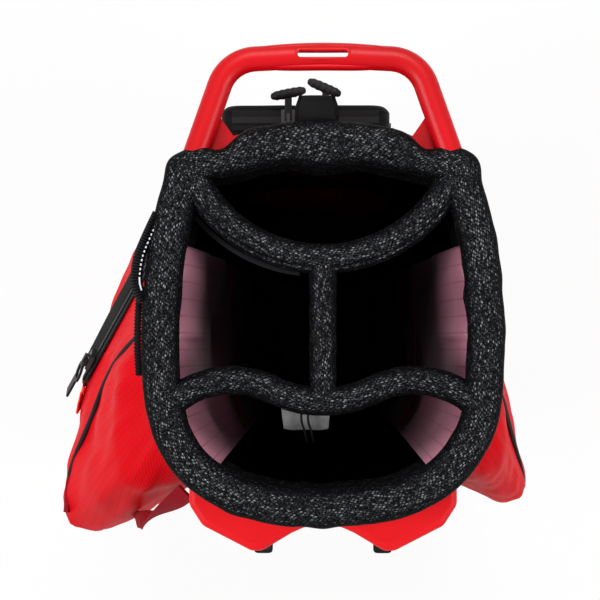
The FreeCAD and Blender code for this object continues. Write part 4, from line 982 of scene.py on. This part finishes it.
def makeBagWall():
    # The bag's own cloth wall: the outline at rising heights with soft folds, and an inner face behind it
    count, rows = 320, 120
    loop, outward = collarLoop(count, bag["inset"])
    z = np.linspace(bag["low"], bag["high"], rows)
    run = lengths(np.concatenate([loop, loop[:1]]))
    u, v = np.meshgrid(around(count), z, indexing="ij")
    fold = np.zeros_like(u)
    for _ in range(bag["waves"]):
        turns, tall = rng.integers(2, 13), rng.uniform(90, 320)
        fold += np.sin(turns * u + 2 * math.pi * v / tall + rng.uniform(0, 6.3))
    fold *= bag["folds"] / 3 * np.clip(np.minimum(v - bag["low"], bag["high"] - v) / bag["calm"], 0, 1)
    outer = loop[:, None] - outward[:, None] * (bag["tuck"] - fold)[..., None]
    inner = outer - outward[:, None] * bag["thick"]
    plan = np.concatenate([outer, inner[:, ::-1]], 1)
    level = np.concatenate([z, z[::-1]])
    faces = gridFaces(count, 2 * rows, closedRows=True, closedColumns=True)
    cloth = clothOf(run[:-1], level)
    piece = addPiece("bagWall", raised(plan, level), faces, "shellCloth", cloth)
    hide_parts("spine_panel", "rear_panel", "left_panel", "right_panel")


makeBagWall()


hanging = {"top": 842.0, "low": 60.0, "thick": 1.4, "folds": 3.0}


def makeHanging(name, line, node):
    # A divider's cloth: its line at falling heights, with folds that grow as it goes down
    path = resample(line, 110)
    side = rightOf(unit(np.gradient(path, axis=0)))
    z = np.linspace(hanging["top"], hanging["low"], 90)
    u, v = np.meshgrid(lengths(path), hanging["top"] - z, indexing="ij")
    ends = np.clip(np.minimum(u, u.max() - u) / 20, 0, 1)
    fold = waves(u, v, 5, hanging["folds"], 50, 150) * np.clip((v - 30) / 120, 0, 1) * ends
    plan = path[:, None] + side[:, None] * fold[..., None]
    front = plan + side[:, None] * hanging["thick"] / 2
    rear = (plan - side[:, None] * hanging["thick"] / 2)[:, ::-1]
    both = np.concatenate([front, rear], 1)
    level = np.concatenate([z, z[::-1]])
    columns = len(level)
    faces = gridFaces(len(path), columns, closedColumns=True).tolist() + endFaces(len(path), columns, len(z))
    piece = addPiece(name, raised(both, level), faces, "wallCloth", clothOf(u[:, 0], level))
    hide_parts(node)


makeHanging("rearDividerCloth", rearLine(), "divider_sheet_rear")
makeHanging("frontDividerCloth", frontLine(), "divider_sheet_front")
makeHanging("centreDividerCloth", centreLine(), "divider_sheet_centre")
print("bag wall and divider cloths are made")

pouches = {
    "ballPocketCloth": {"low": (-78, 80), "high": (78, 452), "front": 177.0, "back": 112.0, "corner": 24.0,
                        "edge": 9.0, "crown": 3.0, "folds": 1.2, "fabric": "redRipstop", "slot": "red_fabric",
                        "node": "ball_pocket", "piping": True},
    "rearPocketCloth": {"low": (-71.5, 470), "high": (47, 775), "front": 160.0, "back": 112.0, "corner": 16.0,
                        "edge": 6.0, "crown": 2.0, "folds": 0.9, "fabric": "purseCloth", "slot": "red_fabric",
                        "node": "rear_pocket", "piping": False},
    "hipPad": {"low": (-43, 380), "high": (43, 560), "front": -136.0, "back": -112.0, "corner": 20.0,
               "edge": 9.0, "crown": 3.0, "folds": 0.3, "fabric": "airMesh", "slot": "black_mesh",
               "node": "hip_pad", "piping": True},
    "strapPadLeft": {"low": (-41, 300), "high": (-3, 640), "front": -147.0, "back": -137.2, "corner": 12.0,
                     "edge": 4.6, "crown": 1.5, "folds": 0.4, "fabric": "airMesh", "slot": "black_mesh",
                     "node": "strap_pad_left", "piping": True},
    "strapPadRight": {"low": (3, 300), "high": (41, 640), "front": -147.0, "back": -137.2, "corner": 12.0,
                      "edge": 4.6, "crown": 1.5, "folds": 0.4, "fabric": "airMesh", "slot": "black_mesh",
                      "node": "strap_pad_right", "piping": True},
}


def roundedOutline(low, high, corner, inset, count=40):
    # Rounded rectangle in X and Z, moved inwards, the same number of points whatever the inset
    corner = max(corner - inset, 1.5)
    (x0, z0), (x1, z1) = (low[0] + inset, low[1] + inset), (high[0] - inset, high[1] - inset)
    left, right, bottom, top = x0 + corner, x1 - corner, z0 + corner, z1 - corner
    spots = ((right, top, 0), (left, top, 90), (left, bottom, 180), (right, bottom, 270))
    parts = []
    for k, (cx, cz, start) in enumerate(spots):
        a = np.radians(np.linspace(start, start + 90, 12))
        parts.append(np.stack([cx + corner * np.cos(a), cz + corner * np.sin(a)], 1))
        nx, nz, ns = spots[(k + 1) % 4]
        b = math.radians(ns)
        first, last = parts[-1][-1], np.array([nx + corner * math.cos(b), nz + corner * math.sin(b)])
        parts.append(first + (last - first) * np.linspace(0, 1, count)[1:-1, None])
    return np.concatenate(parts)


def wallAt(x, way):
    # Y of the bag's wall behind a pouch: the rear arc for way 1, the front arc for way -1
    radius = (collar["backRadius"] if way > 0 else collar["frontRadius"]) - bag["inset"] - 0.6
    centre = collar["back"] - collar["backRadius"] if way > 0 else collar["frontRadius"] - collar["front"]
    return centre + way * np.sqrt(radius ** 2 - x ** 2)


pouchPiping = {"ring": 12, "radius": 1.5}


def makePouch(name, spec):
    # Rings run out of the wall, round the edge and in over the crowned face to its middle
    way = 1 if spec["front"] > spec["back"] else -1
    edge, deep = spec["edge"], abs(spec["front"] - spec["back"])
    wide = min(spec["high"][0] - spec["low"][0], spec["high"][1] - spec["low"][1]) / 2
    turn = np.linspace(0, math.pi / 2, 9)
    offsets = np.concatenate([np.zeros(8), edge * (1 - np.cos(turn)), np.linspace(edge, wide - 1.6, 26)[1:]])
    reach = np.concatenate([np.linspace(0, deep - edge, 9)[:-1], deep - edge + edge * np.sin(turn), np.full(25, deep)])
    over = np.clip((offsets - edge * 0.5) / (wide - edge * 0.5), 0, 1)
    reach = reach - spec["crown"] * (1 - np.sqrt(over)) * (offsets > 0)
    rings = np.array([roundedOutline(spec["low"], spec["high"], spec["corner"], inset) for inset in offsets])
    y = spec["back"] + way * reach
    points = np.stack([rings[..., 0], np.broadcast_to(y[:, None], rings.shape[:2]), rings[..., 1]], -1)
    fold = waves(points[..., 0], points[..., 2], 7, spec["folds"], 40, 130)
    points[..., 1] -= way * np.abs(fold) * np.clip(over * 6, 0, 1)[:, None]
    columns = points.shape[1]
    faces = gridFaces(len(offsets), columns, closedColumns=True).tolist()
    faces += [list(range(columns)), [(len(offsets) - 1) * columns + k for k in range(columns)][::-1]]
    points[..., 1] = way * np.maximum(way * points[..., 1], way * wallAt(points[..., 0], way))
    cloth = np.stack([points[..., 0], points[..., 2]], -1)
    piece = addPiece(name, points, faces, spec["fabric"], cloth)
    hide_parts(spec["node"])
    if spec["piping"]:
        ring = points[pouchPiping["ring"]]
        side = unit(unit(ring - ring.mean(0)) * [1, 0, 1])
        swept(name + "Piping", ring, side, always((0, way, 0), ring), circle(pouchPiping["radius"], 8),
              "pipingCloth", closed=True)


for pouchName, pouchSpec in pouches.items():
    makePouch(pouchName, pouchSpec)
print("pouches and pads are made")

trim = {
    "welt": ((-131, 61, 742), (-140, 46, 722), (-153, 22, 700), (-166, -4, 672), (-178, -30, 648), (-184, -44, 634)),
    "weltWide": 24.0, "weltOff": 15.0, "flap": ((-186, -60, 630), (-184, -50, 636), (-180, -40, 643)),
    "flapWide": 16, "flapSeams": (-5.5, 5.5), "tab": ((-188, -98, 641), (-192.5, -112, 641), (-194.5, -136, 641)),
    "grip": ((-108.5, 77, 853), (-115.5, 62, 853), (-121, 48, 853), (-123, 34, 853), (-121.5, 26, 853),
             (-118, 19, 852)),
    "gripWide": 12.0, "stitch": 1.5, "stitchPitch": 3.0, "lastStitch": 9.0,
    "ribbing": ((-121.5, 20, 849), (-122.4, 4, 849), (-122.4, -14, 849), (-121.6, -30, 848)), "ribPitch": 2.2,
    "twist": ((-93, -110, 806), (-104, -119, 789), (-117, -129, 757), (-129, -136, 712), (-138, -140, 668),
              (-142, -140, 646)), "twistWide": 14, "twistHalfTurns": 1.15,
}


def makeLeftTrim():
    # Bands carried along lines on the pocket's skin and the collar's side, with rows of stitches beside them
    spots, way = onSkin(leftSkin, leftNormal, smoothPath(trim["welt"], 120), 2.2)
    across = unit(np.cross(unit(np.gradient(spots, axis=0)), way))
    strap("leftZipWelt", spots + across * trim["weltOff"], across, way, trim["weltWide"], 2.6,
          "blackCloth")
    spots, way = onSkin(leftSkin, leftNormal, smoothPath(trim["flap"], 20), 2.0)
    across = unit(np.cross(unit(np.gradient(spots, axis=0)), way))
    strap("leftFlap", spots, across, way, trim["flapWide"], 1.4, "redRipstop")
    for k, off in enumerate(trim["flapSeams"]):
        tube("leftFlapStitch%d" % k, spots + across * off + way * 0.8, 0.5, "orangeThread", count=6)
    path = smoothPath(trim["tab"], 30)
    across, lift = sideways(path)
    strap("leftTab", path, across, lift, 5, 14, "redWebbing")
    path = smoothPath(trim["grip"], 120)
    tilted = unit(sideways(path)[0] * 0.55 + np.array([0, 0, 0.85]))
    outward = unit(np.cross(np.gradient(path, axis=0), tilted))
    band = strap("gripBand", path, tilted, outward, trim["gripWide"], 2.0, "blackWebbing")
    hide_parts("side_loop")
    inner = path + np.array([2.5, 0, 5.4])
    run = lengths(inner)
    starts = np.arange(9, run[-1] * 0.74, trim["stitchPitch"])
    for k, start in enumerate(starts):
        at = np.linspace(start, start + (trim["stitch"] if start < starts[-1] else trim["lastStitch"]), 6)
        dash = np.stack([np.interp(at, run, inner[:, a]) for a in range(3)], 1)
        tube("gripStitch%02d" % k, dash, 0.55, "reflectiveThread", count=6)
    path = smoothPath(trim["ribbing"], 160)
    across, lift = sideways(path)
    ribs = 1 + 0.16 * np.sin(2 * math.pi * lengths(path) / trim["ribPitch"])
    shape = circle(2.3, 12)[None] * ribs[:, None, None]
    swept("sideRibbing", path, across, lift, shape, "blackCloth")


def makeTwist():
    # A flat ribbon whose width turns round its own path
    path = smoothPath(trim["twist"], 120)
    across, lift = sideways(path)
    turn = np.linspace(0.1, 0.1 + trim["twistHalfTurns"] * math.pi, len(path))[:, None]
    wideWay = across * np.cos(turn) + lift * np.sin(turn)
    thinWay = lift * np.cos(turn) - across * np.sin(turn)
    ribbon = strap("sideTwist", path, wideWay, thinWay, trim["twistWide"], 2.0, "redWebbing")
    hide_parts("side_webbing")


makeLeftTrim()
makeTwist()
print("left trim is made")

loopStrap = {"middle": -4.0, "wide": 25.0, "outer": 156.0, "inner": 137.0, "level": 843.0}
tee = {"long": 25.0, "radius": 3.4, "ridges": 6, "turn": {"rear_pull_a": 11.0, "rear_pull_b": -23.0},
       "shift": {"rear_pull_a": (0.0, 0.0, 0.0), "rear_pull_b": (-1.0, 4.0, 0.0)}}


def makeRearLoop():
    # A strap folded back on itself: out flat, round, and back above
    t = np.linspace(0, math.pi, 24)
    y0, y1, z = loopStrap["inner"], loopStrap["outer"], loopStrap["level"]
    out = np.stack([np.linspace(y0, y1 - 5, 20), np.full(20, z - 4.0)], 1)
    bend = np.stack([y1 - 5 + 4.4 * np.sin(t), z + 4.4 * -np.cos(t) * 0.9], 1)
    home = np.stack([np.linspace(y1 - 5, y0, 20), z + 4 + 1.2 * np.sin(np.linspace(0, math.pi, 20))], 1)
    line = np.concatenate([out, bend[1:-1], home])
    path = np.stack([np.full(len(line), loopStrap["middle"]), line[:, 0], line[:, 1]], 1)
    run = unit(np.gradient(path, axis=0))
    across = always((1, 0, 0), path)
    narrow = np.interp(line[:, 0], (y0, y1 - 7, y1), (1.0, 0.94, 0.74)) + 0.22 * (line[:, 1] < z)
    loop = strap("rearWebbingLoop", path, across, unit(np.cross(run, across)), loopStrap["wide"], 1.8,
                 "blackCloth", taper=narrow)
    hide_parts("rear_loop")


def makeTee(name, node, body):
    # A bar with turned ridges across a stem, over the CAD pull
    low, high = (np.array(corner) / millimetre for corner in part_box(node))
    middle = (low + high) / 2
    centre = np.array([middle[0], high[1] - tee["radius"], middle[2]]) + tee["shift"][node]
    t = np.linspace(-1, 1, 90)
    ridges = 1 + 0.05 * np.cos(math.pi * t * tee["ridges"])
    ends = np.sqrt(np.clip(1 - np.abs(t) ** 14, 0.03, 1))
    radius = tee["radius"] * ridges * (1 - 0.3 * np.abs(t) ** 3) * ends
    turn = math.radians(tee["turn"][node])
    path = centre + np.outer(t * tee["long"] / 2, [math.cos(turn), math.sin(turn), 0])
    across, lift = sideways(path)
    shape = circle(1.0, 20)[None] * radius[:, None, None]
    bar = swept(name, path, across, lift, shape, "gripRubber", body)
    reach = np.linspace(low[1] + 0.5, centre[1], 20)
    stemPath = np.stack([np.full(20, middle[0]), reach, np.full(20, middle[2])], 1)
    side, up = sideways(stemPath)
    strap(name + "Stem", stemPath, side, up, 5.0, 2.2, "blackPlastic", body)
    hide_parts(node)


makeRearLoop()
makeTee("teePullA", "rear_pull_a", "rear_pull_a")
makeTee("teePullB", "rear_pull_b", "rear_pull_b")


label = {"left": -28.0, "right": 5.0, "top": (-49.0, 838.0), "low": (-69.0, 806.0), "curl": 5.0,
         "strands": (-14.0, -9.5)}


def makeLabel():
    # A small cloth tag in two curled halves below the front divider, with two strands over it
    u, v = np.meshgrid(np.linspace(0, 1, 60), np.linspace(0, 1, 40), indexing="ij")
    across = 2 * u - 1
    bow = 1 - np.abs(across) ** 1.5
    x = label["left"] + (label["right"] - label["left"]) * u - 1.2 * v * across
    (y0, z0), (y1, z1) = label["top"], label["low"]
    y = y0 + (y1 - y0) * v * (1 - 0.12 * np.abs(across) ** 3) + 1.5 * bow * v
    z = z0 + (z1 - z0) * v - label["curl"] * bow * np.sin(2.6 * v)
    front = np.stack([x, y, z], -1)
    both = np.concatenate([front, (front + [0, 0.5, -0.6])[:, ::-1]], 1)
    faces = gridFaces(60, 80, closedColumns=True).tolist() + endFaces(60, 80, 40)
    cloth = clothOf(np.linspace(0, 30, 60), np.linspace(0, 60, 80))
    tag = addPiece("innerLabel", both, faces, "labelCloth", cloth)
    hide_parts("inner_label")
    for k, x0 in enumerate(label["strands"]):
        path = smoothPath([(x0, -50, 838), (x0 - 0.5, -60, 824), (x0 + 1.5, -68, 812), (x0 + 3, -76, 796)], 40)
        tube("labelStrand%d" % k, path, 0.8, "pipingCloth", count=8)


makeLabel()


hingeCorner = {"out": 41.0, "front": -147.0, "low": 772, "high": 787, "wide": 6.5, "deep": 6.0, "corner": 0.4}


def makeHingeCorners():
    # Moulded corner of each leg hinge, seen past the leg cover: a rounded block tapering down
    z = np.linspace(hingeCorner["low"], hingeCorner["high"], 8)
    angle = around(32)
    shape = np.stack([hingeCorner["wide"] * bulged(np.cos(angle), hingeCorner["corner"]),
                      hingeCorner["deep"] * bulged(np.sin(angle), hingeCorner["corner"])], 1)
    tall = 0.7 + 0.3 * np.sin(np.linspace(0.2, math.pi / 2, 8))
    for name, side in (("hingeCornerLeft", -1), ("hingeCornerRight", 1)):
        path = np.stack([np.full(8, side * hingeCorner["out"]), np.full(8, hingeCorner["front"]), z], 1)
        swept(name, path, always((1, 0, 0), path), always((0, 1, 0), path),
              shape[None] * tall[:, None, None], "blackPlastic")


makeHingeCorners()


slotRim = {"length": 35.0, "width": 5.6, "middle": 181.85, "level": 857.2, "radius": 1.2, "out": 0.3}


def makeSlotRim():
    # Moulded lip with round ends about the slot in the handle's bar
    r = slotRim["width"] / 2 + slotRim["out"]
    half = slotRim["length"] / 2 - slotRim["width"] / 2
    a = np.linspace(-math.pi / 2, math.pi / 2, 24)
    right = np.stack([half + r * np.cos(a), r * np.sin(a)], 1)
    ring = np.concatenate([right, np.stack([np.linspace(half, -half, 30)[1:-1], np.full(28, r)], 1),
                           -right, np.stack([np.linspace(-half, half, 30)[1:-1], np.full(28, -r)], 1)])
    path = np.stack([ring[:, 0], slotRim["middle"] + ring[:, 1], slotRim["level"] - 0.05 * ring[:, 1] ** 2], 1)
    run = unit(np.roll(path, -1, axis=0) - np.roll(path, 1, axis=0))
    across = unit(np.cross(run, always((0, 0, 1), path)))
    swept("slotRim", path, across, np.cross(across, run), circle(slotRim["radius"], 14),
          "redPlastic", closed=True)


makeSlotRim()


handleFairing = {
    "outer": ((-60, 179.5), (-45, 184.6), (-24, 186.9), (0, 187.7), (24, 186.9), (45, 184.6), (60, 179.5)),
    "inner": ((-42, 175.2), (-24, 174.2), (0, 174.3), (24, 174.2), (42, 175.2)),
    "level": 850.0, "wide": 2.5, "tall": 5.4,
}


def makeHandleFairing():
    # Rounded edges that make the handle's bar one smooth bow: an oval carried along each edge
    for key in ("outer", "inner"):
        line = [(x, y, handleFairing["level"]) for x, y in handleFairing[key]]
        path = smoothPath(line, 90)
        tube("handleEdge" + key.capitalize(), path, handleFairing["wide"], "redPlastic",
             count=24, flat=handleFairing["tall"] / handleFairing["wide"])


makeHandleFairing()
print("loop, pulls and label are made")
